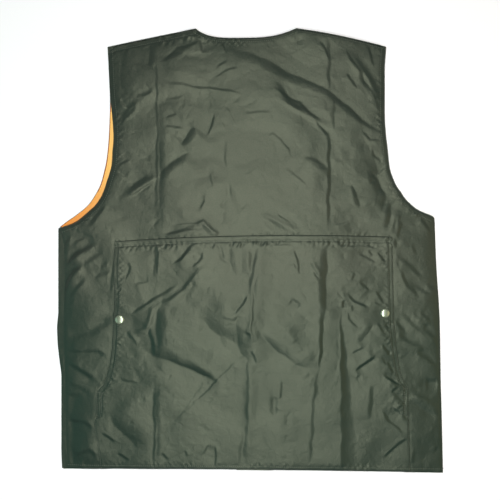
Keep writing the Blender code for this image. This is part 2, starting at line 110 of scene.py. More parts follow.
# Edges of the rear pouch
POUCH_EDGE_LEFT = ((-354, -241.7), (-328, -244), (-278, -250.8), (-266, -247.2),
                   (-229, -247.2), (-220, -239), (-202, -231.2), (-181, -226.3),
                   (-153, -223.1), (-108, -221.1), (-77, -218.7), (-33, -221.1),
                   (15, -218.7), (30, -218.7))
POUCH_EDGE_RIGHT = ((-356, 258.7), (-266, 256.6), (-222, 257), (-208, 247.9),
                    (-181, 240.6), (-153, 236.5), (-113, 233.3), (-82, 232.6),
                    (-33, 231.3), (22, 230), (30, 230))
POUCH_TOP = (8.4, 24.3, 18.8)
POUCH_TOP_ENDS = (-302.0, 301.0)
POUCH_INSET = 1.5
BOX_LOW = -266.5
BOXES = ((-247.0, -240.0, -267.0, -229.0), (250.0, 256.8, -267.0, -223.0))

# Levels of the plans.  Of the back from the hem up: y at the left edge, in the middle and at
# the right edge, rows up to there and the power of their spacing.  Of the fronts the same with
# y at the outer and the closing edge.
BACK_LEVELS = ((-353.5, -355.0, -360.0, 0, 1.0), (10.0, 24.0, 18.0, 108, 1.0),
               (36.0, 45.0, 53.0, 12, 1.0), (95.0, 97.0, 100.0, 34, 1.45),
               (330.0, 352.0, 330.0, 130, 1.0))
HEM_ENDS = (-296.0, 313.0)
TOP_BLEND_START = 97.0
FRONT_LEVELS_LEFT = ((-353.5, -355.0, 0, 1.0), (36.0, 110.0, 120, 1.0),
                     (95.0, 160.0, 24, 1.45), (330.0, 359.6, 70, 1.0))
FRONT_LEVELS_RIGHT = ((-360.0, -355.0, 0, 1.0), (53.0, 110.0, 120, 1.0),
                      (100.0, 160.0, 24, 1.45), (330.0, 360.0, 70, 1.0))
BACK_COLUMNS = 300
POUCH_COLUMNS = 288
POUCH_ROWS = 236

# How the cloth settles towards its edges: share of the loft kept there and its reach
SIDE_REACH = (19.0, 4.0)
ARMHOLE_REACH = (5.0, 3.2)
HEM_REACH = 8.0
HEM_KEEP = 0.85
NECK_REACH = 3.5
NECK_KEEP = 0.62
EDGE_ROUND = 1.6
EDGE_STEPS = (0.0, 0.25, 0.8, 1.7, 3.2)
LEAST_LOFT = 0.6

# Creases: half width and height in millimetres, troughs negative, then the points they run
# through.  The sharp ones are pressed or pulled folds, by their depth, and the soft ones swells
# and hollows: of the upper back, the left and right sides, the pouch and the pressed lines.
SHARP = (
    (3.5, 1.2, 156, 288, 172, 260), (3.5, 1.2, 188, 333, 202, 296),
    (3.5, 1.2, 109, 338, 121, 325, 128, 309), (4, 1.6, 36, 266, 57, 249, 81, 239, 97, 221, 121, 205),
    (4, 1.4, 102, 211, 128, 184), (3.5, 1.2, 178, 192, 194, 179, 211, 179),
    (4, 1.2, -81, 338, -117, 325, -143, 304), (4, 1.6, -211, 244, -198, 228),
    (3.5, 1.0, -178, 247, -157, 260), (4, 1.2, -146, 273, -89, 265, -49, 260, -5, 252),
    (4, 0.9, -138, 244, -107, 249), (3.5, 0.9, -136, 213, -117, 221), (3.5, 0.9, -141, 200, -105, 198),
    (4, 1.1, -70, 184, -55, 220), (3.5, 1.0, -49, 341, -39, 317), (3, 0.8, -55, 296, -36, 305),
    (3, 0.9, -58, 279, -32, 292, -16, 297), (2.5, 0.9, -42, 236, -32, 224, -21, 198),
    (3, 0.9, -18, 190, -8, 168), (3.5, 0.9, -47, 211, -32, 179),
    (3, 1.1, 21, 174, 26, 185, 36, 189, 49, 179, 65, 163, 66, 147), (3.5, 0.7, -16, 224, 40, 223),
    (3.5, 1.2, -217, 137, -191, 145), (3.5, 1.2, -217, 127, -201, 116), (4, 1.2, -81, 69, -71, 83),
    (4, 1.0, -126, 40, -81, 46), (4, 1.3, -146, 22, -105, 32, -71, 36), (3.5, 1.4, -308, 1, -290, 24),
    (3, 1.0, -287, 43, -287, 30), (3, 1.0, -277, 40, -277, 27), (4, 1.4, -271, 30, -249, 19),
    (4, 1.0, 55, 137, 94, 103), (3.5, 1.0, -16, 66, -2, 77), (4, 1.3, 19, 49, 40, 30),
    (3.5, 1.0, 42, 58, 65, 45), (4, 0.8, -39, 179, -39, 130), (3, 0.9, -49, 75, -41, 64),
    (4, 0.9, -66, 127, -60, 101), (3.5, 1.1, 198, 166, 199, 155, 215, 143),
    (4, 1.4, 201, 121, 224, 139), (4, 1.4, 246, 46, 237, 19), (4.5, 2.0, 272, 54, 297, 25),
    (4, 1.0, 136, 41, 162, 49), (4, 1.0, 157, 27, 181, 36),
    (4, 2.4, -290, 25, -295, 12, -304, -1), (3.5, 1.6, -262, 22, -279, 14, -290, 2),
    (8, 4.6, -245, 12, -262, 4, -277, -6, -290, -16, -300, -28),
    (4, 2.0, -236, -2, -256, -14, -272, -24), (4, 2.2, -281, -24, -292, -32, -302, -42),
    (7.5, 4.4, -270, -24, -284, -36, -293, -48, -300, -66), (4, 2.2, -262, -46, -280, -62, -296, -82),
    (4, 1.8, -283, -78, -300, -92), (3.5, 1.8, -230, -19, -243, -28), (4, 1.9, -225, -32, -251, -45),
    (3, 1.4, -221, -19, -222, -56, -227, -69), (3.5, 1.5, -286, -98, -301, -109),
    (5, 3.0, -300, -156, -292, -163, -275, -164, -246, -163, -237, -166, -230, -173),
    (5, 3.0, -300, -179, -283, -189, -267, -198, -246, -211),
    (4, 1.5, -298, -213, -269, -226, -253, -231), (3.5, 1.2, -295, -233, -272, -234),
    (5, 3.0, -298, -270, -283, -275, -267, -278, -252, -288), (3, 1.4, -279, -348, -272, -352),
    (4, 2.0, -285, -323, -277, -330, -269, -326, -259, -323, -246, -333),
    (4, 2.0, 232, 20, 237, 6), (4, 1.7, 235, -2, 241, -12, 250, -20, 262, -30, 284, -48),
    (3, 1.1, 233, -17, 241, -24), (4.5, 2.2, 243, -28, 250, -48, 256, -59, 266, -67, 274, -77),
    (4, 1.5, 254, -48, 264, -58, 295, -72), (4.5, 2.0, 285, -54, 303, -67), (4, 1.2, 261, 9, 269, -7),
    (3.5, 1.2, 232, -90, 243, -88), (4, 1.6, 237, -101, 251, -106, 264, -121, 292, -145),
    (4.5, 2.0, 274, -101, 287, -109, 295, -114), (3.5, 1.3, 262, -104, 284, -114),
    (4.5, 2.0, 233, -113, 245, -127, 254, -134), (4.5, 2.1, 240, -129, 246, -140, 256, -148, 282, -158),
    (5, 2.2, 275, -124, 297, -139, 305, -150), (5, 2.5, 267, -164, 287, -174, 305, -187),
    (3.5, 1.1, 261, -218, 275, -223), (4, 1.4, 288, -239, 305, -249),
    (5, 1.8, 262, -242, 284, -255, 306, -270), (4, 1.2, 266, -323, 264, -344),
    (4, 1.3, 297, -323, 305, -317),
    (3, 0.9, -212, -66, -206, -59), (3, 1.0, 8, 9, 40, 9.5, 73, 9),
    (3, 1.1, 141, 7, 154, 9, 170, 6, 194, 7, 207, 2, 214, -3),
    (3.5, 1.1, -199, -19, -193, -28, -201, -49), (4, 1.0, -186, -53, -162, -51),
    (3, 1.1, -206, -95, -211, -103), (4.5, 2.0, -86, 10, -97, 6, -104, -4, -112, -14, -126, -22),
    (4, 1.4, -76, 1, -78, -12, -86, -20, -97, -28), (3.5, 1.4, -55, 10, -62, 2),
    (3.5, 1.0, -49, 12, -41, -19), (5, 1.6, -5, -70, -11, -85, -26, -103),
    (3.5, 1.0, -8, -130, 2, -135), (4, 0.9, 49, -207, 50, -242), (4, 1.3, -241, -292, -217, -310),
    (4, 1.2, -214, -326, -194, -339), (3.5, 1.1, -212, -205, -203, -211, -181, -213),
    (3, 1.0, -225, -205, -220, -210), (3.5, 1.0, -141, -326, -130, -339),
    (3, 0.9, -105, -323, -100, -333), (4, 1.0, -65, -312, -78, -331), (3, 1.0, -55, -313, -55, -352),
    (3, 1.5, 70, 4, 75, -11, 79, -32, 83, -40), (3, 1.0, 68, -20, 76, -30),
    (3.5, 1.2, 102, -35, 112, -49), (3, 1.0, 191, 1, 196, -9), (4, 1.8, 204, -2, 211, -11, 217, -19),
    (4, 1.2, 173, -7, 203, -19), (4, 1.1, 169, -35, 164, -48), (4, 1.4, 177, -51, 188, -61, 194, -67),
    (4.5, 2.2, 154, -67, 165, -80, 181, -88, 194, -95), (3, 1.0, 165, -88, 165, -100),
    (4, 1.8, 204, -64, 209, -75, 215, -85), (3.5, 1.2, 198, -83, 211, -88, 219, -95),
    (3.5, 1.6, 211, -104, 219, -116, 225, -130), (3.5, 1.3, 206, -116, 219, -134),
    (4, 1.3, 157, -100, 160, -111, 170, -121, 178, -126), (4, 1.8, 211, -150, 219, -160, 228, -169),
    (4, 1.2, 162, -168, 186, -156), (5, 2.4, 204, -169, 191, -179, 178, -190, 170, -197),
    (3.5, 1.0, 170, -207, 178, -203), (4, 1.9, 215, -200, 227, -208, 237, -216),
    (4, 1.8, 220, -177, 228, -190, 233, -197), (3.5, 1.2, 211, -171, 220, -185),
    (4, 1.8, 237, -218, 227, -228), (4, 1.4, 224, -205, 243, -218),
    (4, 1.8, 228, -252, 240, -260, 248, -266), (4, 1.6, 215, -255, 224, -275, 237, -286, 248, -297),
    (4, 1.5, 256, -302, 240, -312, 227, -323, 215, -336),
    (3, 1.4, -152, 9, -149, -2, -151, -12, -149, -40),
    (5, 1.5, 16, 7, 11, -19, 5, -64, 3, -129, 5, -160), (4, 1.4, 0, -160, 6, -169, 11, -184),
    (3.5, 2.2, 149, -80, 150, -93),
)
SOFT_UPPER = (
    (6, 2.2, 162, 315, 191, 276, 211, 231), (5, 1.4, 42, 247, 81, 224, 128, 198),
    (5, 1.2, -207, 212, -180, 240), (5, 2.4, -198, 88, -170, 106, -149, 118),
    (4, 1.6, -89, 40, -76, 46, -62, 32, -50, 24), (5, 1.3, 19, 59, 78, 30),
    (3.5, 1.0, 235, 61, 228, 33), (3, 0.8, 240, 58, 238, 33),
)
SOFT_LEFT = (
    (8, -2.0, -224, -109, -240, -118, -259, -130, -300, -138),
)
SOFT_RIGHT = (
    (8, -2.2, 284, -214, 305, -214), (5, 1.6, 259, -232, 284, -242, 305, -258),
    (26, -1.8, 282, -290, 284, -420), (24, -1.4, 205, -300, 208, -420),
)
SOFT_POUCH = (
    (6, 1.8, -81, -32, -105, -64, -130, -82, -146, -87),
    (5, 1.4, -147, -85, -157, -95, -162, -116, -169, -129, -191, -137),
    (4, 1.0, -198, -129, -180, -151), (6, 1.2, -3, 1, -3, -40),
    (4, 1.0, -45, -104, -29, -109, -16, -101), (5, -1.0, 39, -234, 39, -266),
    (4, 1.1, 99, -17, 115, -44), (5, -1.2, 65, -80, 81, -90), (9, 1.2, 57, -125, 73, -150),
    (4, 1.3, 147, -67, 159, -90),
)
SOFT_PRESSED = (
    (9, 1.2, 16, 8, 3, -164), (9, 1.2, 0, -190, -4, -350),
)
SOFT_TABLES = (SOFT_UPPER, SOFT_LEFT, SOFT_RIGHT, SOFT_POUCH, SOFT_PRESSED)
# Bands where the cloth falls across a line, outwards from the middle: width at its start and
# at its end, drop, then the points.  The foot of a wide band is crisp, or its head where the
# drop is negative.
BANDS = (
    (19, 7, 2.4, -44, 328, 19, 303, 50, 286, 81, 272, 110, 260, 130, 249, 154, 231, 178, 208, 202,
     194, 222, 180),
    (5, 9, 2.4, 151, 328, 165, 305, 177, 288, 182, 273, 195, 252, 205, 236, 212, 214),
    (9, 12, 1.6, 98, 222, 63, 237, 38, 275), (12, 17, 2.6, 186, 130, 202, 109, 212, 90, 207, 60),
    (34, 40, 2.2, 178, 176, 190, 120, 186, 52), (6, 9, 1.5, 162, 108, 177, 66),
    (7, 9, 1.7, 227, 80, 216, 36), (9, 13, 1.6, 86, 152, 128, 126),
    (5, 5, 1.1, 124, 348, 128, 306, 127, 254), (6, 9, 0.9, 133, 190, 134, 244),
    (4.5, 4.5, 1.5, 125, 204, 128, 160, 126, 28), (12, 13, 2.8, -110, 167, -85, 199),
    (16, 9, 2.2, -150, 108, -134, 128, -113, 143, -93, 160), (5, 6, 1.5, -210, 202, -181, 234),
    (4, 6, 0.9, -186, 246, -157, 262), (9, 12, 1.6, -158, 292, -157, 340),
    (7, 6, 1.4, -84, 342, -78, 318), (8, 10, 1.5, -142, 304, -92, 330),
    (8, 8, 1.2, -192, 98, -163, 123), (4, 5, 1.2, -148, 115, -180, 93),
    (8, 12, 1.4, -33, 112, -25, 82, -20, 46), (10, 12, 0.8, -112, 72, -78, 60),
    (6, 5, 1.7, -260, 36, -234, 77), (6, 8, 1.4, -136, 24, -74, 43),
    (9, 10, 1.1, -142, 26, -141, 150, -143, 250),
    (3, 3, 0.7, -150, 330, -151, 250, -149, 200, -151, 120, -150, 24),
    (4, 8, 1.8, -197, -108, -160, -81, -110, -55), (4, 5, 1.7, -158, -119, -161, -132, -154, -168),
    (24, 6, 3.2, -178, -148, -153, -160, -125, -172, -66, -199, -44, -220),
    (22, 42, 3.6, -80, -98, -45, -125, 2, -156, 18, -182), (15, 17, 2.4, -143, -172, -142, -84),
    (26, 26, 1.3, 130, -215, 130, -50), (5, 6, 1.5, -302, -56, -277, -22),
    (6, 5, 1.6, -303, -26, -270, 4),
    (6, 8, 3.2, -296, -268, -293, -300, -294, -311, -285, -331, -283, -356),
    (3, 3, 0.7, -154, -44, -153, 8), (3.5, 3.5, 1.0, -154, -352, -154, -204),
    (6, 8, 0.9, -146, -352, -148, -204), (4, 5, 0.6, -3, -160, -4, -300),
    (6, 8, 1.1, -10, -278, -20, -356), (5, 5, 1.1, -124, -23, -90, 6), (8, 9, 1.3, -106, -84, -77, -38),
    (9, 10, 1.3, -33, 9, -21, -44), (24, 34, 2.8, -226, -256, -158, -320),
    (20, 38, 4.4, -286, -262, -276, -298, -272, -350),
    (50, 62, 3.4, -262, -205, -258, -300, -256, -420), (66, 70, 2.6, -122, -66, -128, -196),
    (26, 30, 2.2, -10, -90, -4, -190), (54, 60, 3.7, -176, 352, -182, 240),
    (13, 12, 3.0, 119, 12, 117, -40, 116, -110), (9, 3, 2.2, 117, -90, 114, -140, 112, -192),
    (5, 5, 0.8, 97, -356, 99, -300, 104, -230, 112, -184),
    (2, 38, -3.7, 145, -84, 150, -150, 154, -210, 161, -360, 166, -470),
    (3, 4, 1.5, 152, -92, 151, -80, 139, -66), (12, 20, 2.3, 10, -122, 46, -156, 74, -172, 112, -192),
    (13, 12, 1.0, 1, -72, 16, 10), (8, 10, 1.5, 200, -118, 168, -150),
    (6, 7, 1.2, 196, -214, 193, -276), (9, 9, 1.5, 248, -252, 230, -232),
)
MIDDLE = (10.0, -60.0)
RETURN_REACH = 4.5
RETURN_SHARE = 1.8
BAND_TAPER = 0.26
BAND_CRISP = 0.75
NARROW_SHARE = 0.84
NARROW_END = 0.8
NARROW_DROP = 0.85
CREASE_END = 0.3
CREASE_TAPER = 0.22
CREASE_SKEW = 0.35

# Small crinkles of the nylon, spread all over
CRINKLES = 800
CRINKLE_SEED = 41
CRINKLE_LENGTH = (9.0, 34.0)
CRINKLE_WIDTH = (2.4, 4.2)
CRINKLE_HEIGHT = 0.44
CRINKLE_TAPER = 0.4

# Creases of the fronts, which lie underneath: the same for both, mirrored and shifted
SHARP_FRONT = (
    (3, 1.4, 150, -345, 151, -60, 149, 190), (4, 1.5, 60, -70, 110, -95, 150, -96),
    (4, 1.3, 70, -180, 120, -160, 190, -168), (4.5, 1.7, 230, 20, 260, -20, 292, -48),
    (4, 1.4, 296, -110, 260, -130, 230, -133), (4, 1.5, 296, -190, 262, -205, 228, -240),
    (4, 1.3, 280, -345, 270, -300, 290, -262), (4, 1.2, 80, -340, 96, -270, 90, -230),
    (3.5, 1.1, 190, -330, 200, -280, 180, -240), (4, 1.4, 62, 20, 100, 12, 140, 36),
    (4, 1.3, 70, 120, 110, 100, 160, 110), (4, 1.5, 215, 120, 190, 150, 200, 190),
    (3.5, 1.2, 120, 330, 128, 280, 120, 230), (3.5, 1.2, 200, 320, 180, 280, 150, 262),
    (4, 1.3, 210, -20, 170, -40, 120, -30),
)
SOFT_FRONT = (
    (10, 1.2, 100, -300, 140, -200, 120, -120), (12, 1.3, 210, -80, 240, -160, 220, -300),
    (10, 1.2, 90, 60, 130, 140, 140, 220), (9, 1.1, 180, 60, 190, 10, 230, -50),
)
FRONT_PULL = 1.25
PLACKET_HALF = 22.0
V_NECK_START = 150.0
STRIP_WIDTH = 49.0
RAMP_WIDTH = 9.0
LIFT_TOP = 212.0
LIFT_END = 262.0
FRONT_COLUMNS = 130
ROLL_RADIUS = 1.15
ROLL_INSET = 1.9
LINING_UNDER = 6.0
# Width of the painted shade along the lining's outer edge
LINING_EDGE_SHADE_WIDTH = 1.5

# Stitches
STITCH_PITCH = 3.3
STITCH_LENGTH = 2.3
STITCH_WIDTH = 1.0
STITCH_HEIGHT = 0.6
STITCH_RISE = 0.1
STITCH_BATCH = 24

# Broad unevenness of the lofted cloth: wavelengths, heights and phases
SWELLS = ((96.0, 0.4, 0.3), (61.0, 0.2, 1.7), (150.0, 0.5, 4.1))
# Flat planes that crumpled nylon breaks into: size, height, turn and seed of each layer
FACETS = ((47.0, 1.1, 0.5, 3), (25.0, 0.42, 1.2, 5), (12.0, 0.14, 0.2, 7))
CALM_SHARE = 0.6
CALM_TOP = -150.0
LATTICE = 128
WARP_THREADS = 7400.0
WEFT_THREADS = 6600.0
SEAM_REACH = 14.0
UNDER_POUCH_DROP = 1.8
POUCH_HEM_SHARE = 1.6
POUCH_ROUND = 2.6
TURN_WALL = 0.8
LINING_WALL = 0.5
# Step of the grid behind the back and the pouch, in columns of the grid that shows
BEHIND_STEP = 4
# Stitches further from a front's points than this are left out
ON_CLOTH = 3.0

# Distance that stands for nothing near
FAR = 1e6


def smooth_through(table, at):
    """Smooth curve through a table of places and values, with no overshoot."""
    places, values = np.array(table, dtype=float).T
    spans = np.diff(places)
    rates = np.diff(values) / spans
    same_way = rates[:-1] * rates[1:] > 0
    both = np.where(same_way, rates[:-1] + rates[1:], 1.0)
    middle = np.where(same_way, 2 * rates[:-1] * rates[1:] / both, 0.0)
    slopes = np.concatenate((rates[:1], middle, rates[-1:]))
    at = np.clip(at, places[0], places[-1])
    span = np.clip(np.searchsorted(places, at) - 1, 0, len(spans) - 1)
    t = (at - places[span]) / spans[span]
    start, end = values[span], values[span + 1]
    lead, tail = slopes[span] * spans[span], slopes[span + 1] * spans[span]
    return (start + t * lead + t**2 * (3 * (end - start) - 2 * lead - tail)
            + t**3 * (2 * (start - end) + lead + tail))


def ease(t):
    """Smooth step from 0 to 1."""
    t = np.clip(t, 0.0, 1.0)
    return t * t * (3 - 2 * t)


def shoulder(x, tip, neck_point, bow):
    """Height y of a shoulder seam, bowed up a little between its tip and the neck."""
    along = np.clip((x - tip[0]) / (neck_point[0] - tip[0]), 0.0, 1.0)
    return tip[1] + along * (neck_point[1] - tip[1]) + bow * 4 * along * (1 - along)


def top_edge(x):
    """Height y of the shoulders and the neck at each x."""
    left = shoulder(x, SHOULDER_TIP_LEFT, NECK_POINT_LEFT, SHOULDER_BOW_LEFT)
    right = shoulder(x, SHOULDER_TIP_RIGHT, NECK_POINT_RIGHT, SHOULDER_BOW_RIGHT)
    (start, low), (end, high) = NECK_POINT_LEFT, NECK_POINT_RIGHT
    along = np.clip((x - start) / (end - start), 0.0, 1.0)
    power = np.where(along < 0.5, NECK_POWER_LEFT, NECK_POWER_RIGHT)
    scoop = low + along * (high - low) - NECK_DEPTH * (1 - np.abs(2 * along - 1) ** power)
    return np.where((x > start) & (x < end), scoop, np.where(x < 0, left, right))


def edge_curve(side, armhole):
    """Curve x(y) of a side up to the underarm, and of the armhole above it."""
    return lambda y: np.where(y < side[-1][0], smooth_through(side, y),
                              smooth_through(armhole, y))


back_edge_left = edge_curve(SIDE_SEAM_LEFT, ARMHOLE_BACK)
outline_left = edge_curve(SIDE_LEFT, ARMHOLE_FRONT)
outline_right = edge_curve(SIDE_RIGHT, ARMHOLE_RIGHT)


def across(heights, ends, x):
    """Heights y at the left edge, in the middle and at the right edge, carried over x."""
    left, right = ends
    slope_left = (heights[0] - heights[1]) / left
    slope_right = (heights[2] - heights[1]) / right
    bend = (slope_right - slope_left) / (right - left)
    return heights[1] + (slope_left - bend * left) * x + bend * x**2


hem_line = partial(across, BACK_LEVELS[0], HEM_ENDS)
pouch_line = partial(across, POUCH_TOP, POUCH_TOP_ENDS)
pouch_left = partial(smooth_through, POUCH_EDGE_LEFT)
pouch_right = partial(smooth_through, POUCH_EDGE_RIGHT)


def line_field(points, x, y, reach):
    """Distance from a line of points, signed by its side, the run along it and its length."""
    away = np.full(x.shape, FAR)
    run = np.zeros(x.shape)
    done = 0.0
    for (x0, y0), (x1, y1) in zip(points, points[1:]):
        length = math.hypot(x1 - x0, y1 - y0)
        near = ((x > min(x0, x1) - reach) & (x < max(x0, x1) + reach)
                & (y > min(y0, y1) - reach) & (y < max(y0, y1) + reach))
        if near.any():
            dx, dy = (x1 - x0) / length, (y1 - y0) / length
            px, py = x[near] - x0, y[near] - y0
            along = np.clip(px * dx + py * dy, 0.0, length)
            distance = np.hypot(px - along * dx, py - along * dy)
            side = np.where(py * dx - px * dy < 0, -1.0, 1.0)
            old = away[near]
            closer = distance < np.abs(old)
            away[near] = np.where(closer, side * np.maximum(distance, 1e-6), old)
            run[near] = np.where(closer, done + along, run[near])
        done += length
    return away, run, done


def near_line(points, x, y, reach, taper):
    """Places near a line: which, how far off, their share of its length and its taper there."""
    away, run, length = line_field(points, x, y, reach)
    near = np.abs(away) < FAR
    share = run[near] / length
    return near, away[near], share, ease(np.minimum(share, 1 - share) / taper)


def distance_to(line, x, y, reach):
    return np.abs(line_field(line, x, y, reach)[0])


def pair_up(places):
    return list(zip(places[::2], places[1::2]))


def swell_creases(x, y, table, seed):
    """Sum of soft swells and hollows with tapered ends."""
    random = np.random.default_rng(seed)
    relief = np.zeros(x.shape)
    for width, height, *places in table:
        near, away, share, ends = near_line(pair_up(places), x, y, 3 * width, CREASE_TAPER)
        skew = 1 + CREASE_SKEW * random.uniform(-1, 1) * np.sign(away)
        ends = CREASE_END + (1 - CREASE_END) * ends
        relief[near] += height * ends * np.exp(-(away / (width * skew))**2)
    return relief


def band_relief(x, y):
    """Sum of bands where the cloth falls outwards across a line, then slowly comes back."""
    relief = np.zeros(x.shape)
    narrow = [(NARROW_SHARE * width, NARROW_END * NARROW_SHARE * width, NARROW_DROP * depth,
               *places) for width, depth, *places in SHARP]
    for start, end, drop, *places in (*BANDS, *narrow):
        points = pair_up(places)
        (x0, y0), (x1, y1) = points[0], points[-1]
        outwards = ((y0 - y1) * ((x0 + x1) / 2 - MIDDLE[0])
                    + (x1 - x0) * ((y0 + y1) / 2 - MIDDLE[1]))
        if outwards < 0:
            points.reverse()
            start, end = end, start
        back = RETURN_REACH + RETURN_SHARE * max(start, end)
        near, away, share, ends = near_line(points, x, y, 5 * back, BAND_TAPER)
        half = (start + (end - start) * share) * (0.5 + 0.5 * ends) / 2
        side = np.clip(away / half, -1, 1)
        crisp = math.copysign(ease((max(start, end) - 4) / 4) * BAND_CRISP, drop)
        side = side - crisp * (1 - side**2) / 2
        beyond = np.maximum(np.abs(away) - half, 0)
        relief[near] -= abs(drop) / 2 * ends * side * np.exp(-beyond / back)
    return relief


def crinkle_relief(x, y):
    """Small crinkles of random place and turn."""
    random = np.random.default_rng(CRINKLE_SEED)
    relief = np.zeros(x.shape)
    for number in range(CRINKLES):
        x0, y0 = random.uniform(-310, 312), random.uniform(-355, 352)
        length = random.uniform(*CRINKLE_LENGTH)
        turn = random.uniform(0, math.pi)
        bend = turn + random.uniform(-0.7, 0.7)
        width = random.uniform(*CRINKLE_WIDTH)
        height = CRINKLE_HEIGHT * random.uniform(-1.0, 0.6)
        x1, y1 = x0 + length * math.cos(turn) / 2, y0 + length * math.sin(turn) / 2
        x2, y2 = x1 + length * math.cos(bend) / 2, y1 + length * math.sin(bend) / 2
        near, away, share, ends = near_line([(x0, y0), (x1, y1), (x2, y2)], x, y, 4 * width,
                                            CRINKLE_TAPER)
        relief[near] += height * ends * np.exp(-(np.abs(away) / width)**1.4)
    return relief


def facet_relief(x, y):
    """Planes with crisp edges, from random heights at the corners of a warped lattice."""
    relief = np.zeros(x.shape)
    for size, height, turn, seed in FACETS:
        corners = np.random.default_rng(seed).uniform(-1, 1, (LATTICE, LATTICE))
        u = (x * math.cos(turn) + y * math.sin(turn)) / size
        v = (y * math.cos(turn) - x * math.sin(turn)) / size * 0.8
        u = u + 0.45 * np.sin(0.9 * v + seed) + 0.2 * np.sin(2.3 * v + 2 * seed)
        v = v + 0.45 * np.sin(0.8 * u + 3 * seed) + 0.2 * np.sin(2.1 * u + seed)
        row, column = np.floor(v).astype(int), np.floor(u).astype(int)
        f, g = u - column, v - row
        a, b, c, d = (corners[(row + up) % LATTICE, (column + on) % LATTICE]
                      for up, on in ((0, 0), (0, 1), (1, 0), (1, 1)))
        low = a + f * (b - a) + g * (c - a)
        high = d + (1 - f) * (c - d) + (1 - g) * (b - d)
        relief += height * np.where(f + g < 1, low, high)
    return relief


def swell_relief(x, y):
    """Broad soft unevenness."""
    relief = np.zeros(x.shape)
    for length, height, phase in SWELLS:
        k = math.tau / length
        warp = 0.9 * np.sin(k * 0.43 * y + 2.1 * phase)
        relief += height * np.sin(k * (x * 0.82 + y * 0.34) + phase + warp)
        relief += 0.6 * height * np.sin(k * (0.9 * y - x * 0.27) + 2.3 * phase)
    return relief


def puckers(run, from_row, pitch, seed):
    """Crossing slanted ripples that the thread pulls, of uneven strength along the row."""
    random = np.random.default_rng(seed)
    ripple = np.zeros(from_row.shape)
    for share, slant in ((1.0, 0.9), (1.37, -0.8), (0.71, 0.3), (1.9, -0.2)):
        wave = pitch * share * random.uniform(0.93, 1.07)
        phase = random.uniform(0, math.tau) + 1.1 * np.sin(run / (3.1 * wave))
        ripple += np.sin(math.tau * (run + slant * from_row) / wave + phase) / 2.3
    swing = 0.7 + 0.5 * np.sin(run / 23.0 + random.uniform(0, math.tau))
    return ripple * (swing + 0.35 * np.sin(run / 9.0 + random.uniform(0, math.tau)))


def seam(x, y, kind, points, offset, width, depth, pucker, pitch, seed):
    """Puckered row of stitches beside a line: a groove, or a step down outside it."""
    away, run, length = line_field(points, x, y, offset + SEAM_REACH)
    near = np.abs(away) < offset + SEAM_REACH
    from_row = np.abs(away[near]) - offset
    if kind == "groove":
        sunk, fade = np.exp(-(from_row / width)**2), np.exp(-(from_row / 4.2)**2)
    else:
        sunk, fade = ease(0.5 - from_row / width), np.exp(-((from_row - 1.5) / 5.0)**2)
    relief = np.zeros(x.shape)
    relief[near] = pucker * puckers(run[near], from_row, pitch, seed) * fade - depth * sunk
    return relief


def pairs(x, y):
    return [(float(a), float(b)) for a, b in zip(x, y)]


def points_up(curve, start, end, step):
    """Points of a smooth curve x(y), close together."""
    y = np.linspace(start, end, max(2, round(abs(end - start) / step) + 1))
    return pairs(curve(y), y)


def points_across(curve, start, end, step):
    """Points of a smooth curve y(x), close together."""
    return [(x, y) for y, x in points_up(curve, start, end, step)]


ARMHOLE_LEFT_LINE = points_up(back_edge_left, 37, 330, 6)
ARMHOLE_RIGHT_LINE = points_up(outline_right, 54, 330, 6)
ARMHOLE_FRONT_LINE = [(x, y) for y, x in ARMHOLE_FRONT]
SIDE_LEFT_LINE = points_up(back_edge_left, -353, 35, 16)
SIDE_RIGHT_LINE = points_up(outline_right, -360, 53, 16)
NECK_LINE = points_across(top_edge, -88, 75, 5)
SHOULDER_LEFT_LINE = points_across(top_edge, -231, -88, 12)
SHOULDER_RIGHT_LINE = points_across(top_edge, 75, 221, 12)
HEM_LINE = points_across(hem_line, -296, 313, 24)
OUTLINE = (ARMHOLE_LEFT_LINE, ARMHOLE_RIGHT_LINE, SIDE_RIGHT_LINE, NECK_LINE,
           SHOULDER_LEFT_LINE, SHOULDER_RIGHT_LINE, HEM_LINE)
POUCH_TOP_LINE = points_across(pouch_line, -218, 230, 14)
POUCH_LEFT_LINE = points_up(pouch_left, -352, 8, 6)
POUCH_RIGHT_LINE = points_up(pouch_right, -356, 20, 6)
POUCH_LEFT_UPPER, POUCH_RIGHT_UPPER = ([point for point in line if point[1] > BOX_LOW]
                                       for line in (POUCH_LEFT_LINE, POUCH_RIGHT_LINE))
BOX_LINES = [[(left, low), (left, high), (right, high), (right, low), (left, low)]
             for left, right, low, high in BOXES]

# Rows of stitches of the back and the pouch: kind, line, offset from it, width, depth, height
# and pitch of the puckers, and their seed
HEM_SEAM = ("step", HEM_LINE, 6.5, 3, 0.05, 0.3, 9, 16)
BACK_SEAMS = (("step", ARMHOLE_LEFT_LINE, 8, 3, 0.45, 0.5, 7, 11),
              ("step", ARMHOLE_RIGHT_LINE, 8, 3, 0.3, 0.36, 7, 12),
              ("step", NECK_LINE, 7, 3, 0.2, 0.4, 7, 13),
              ("step", SHOULDER_LEFT_LINE, 10, 3.4, 1.1, 0.85, 13, 14),
              ("step", SHOULDER_RIGHT_LINE, 4.5, 3, 0.35, 0.22, 10, 15), HEM_SEAM,
              ("step", SIDE_LEFT_LINE, 3, 4, 0.5, 0.3, 9, 17),
              ("groove", POUCH_TOP_LINE, 0, 2.4, 0.7, 0.5, 7, 18),
              ("groove", POUCH_LEFT_LINE, 1.5, 1.5, 0.25, 0.3, 9, 19),
              ("groove", POUCH_RIGHT_LINE, 1.5, 1.5, 0.25, 0.3, 9, 20))
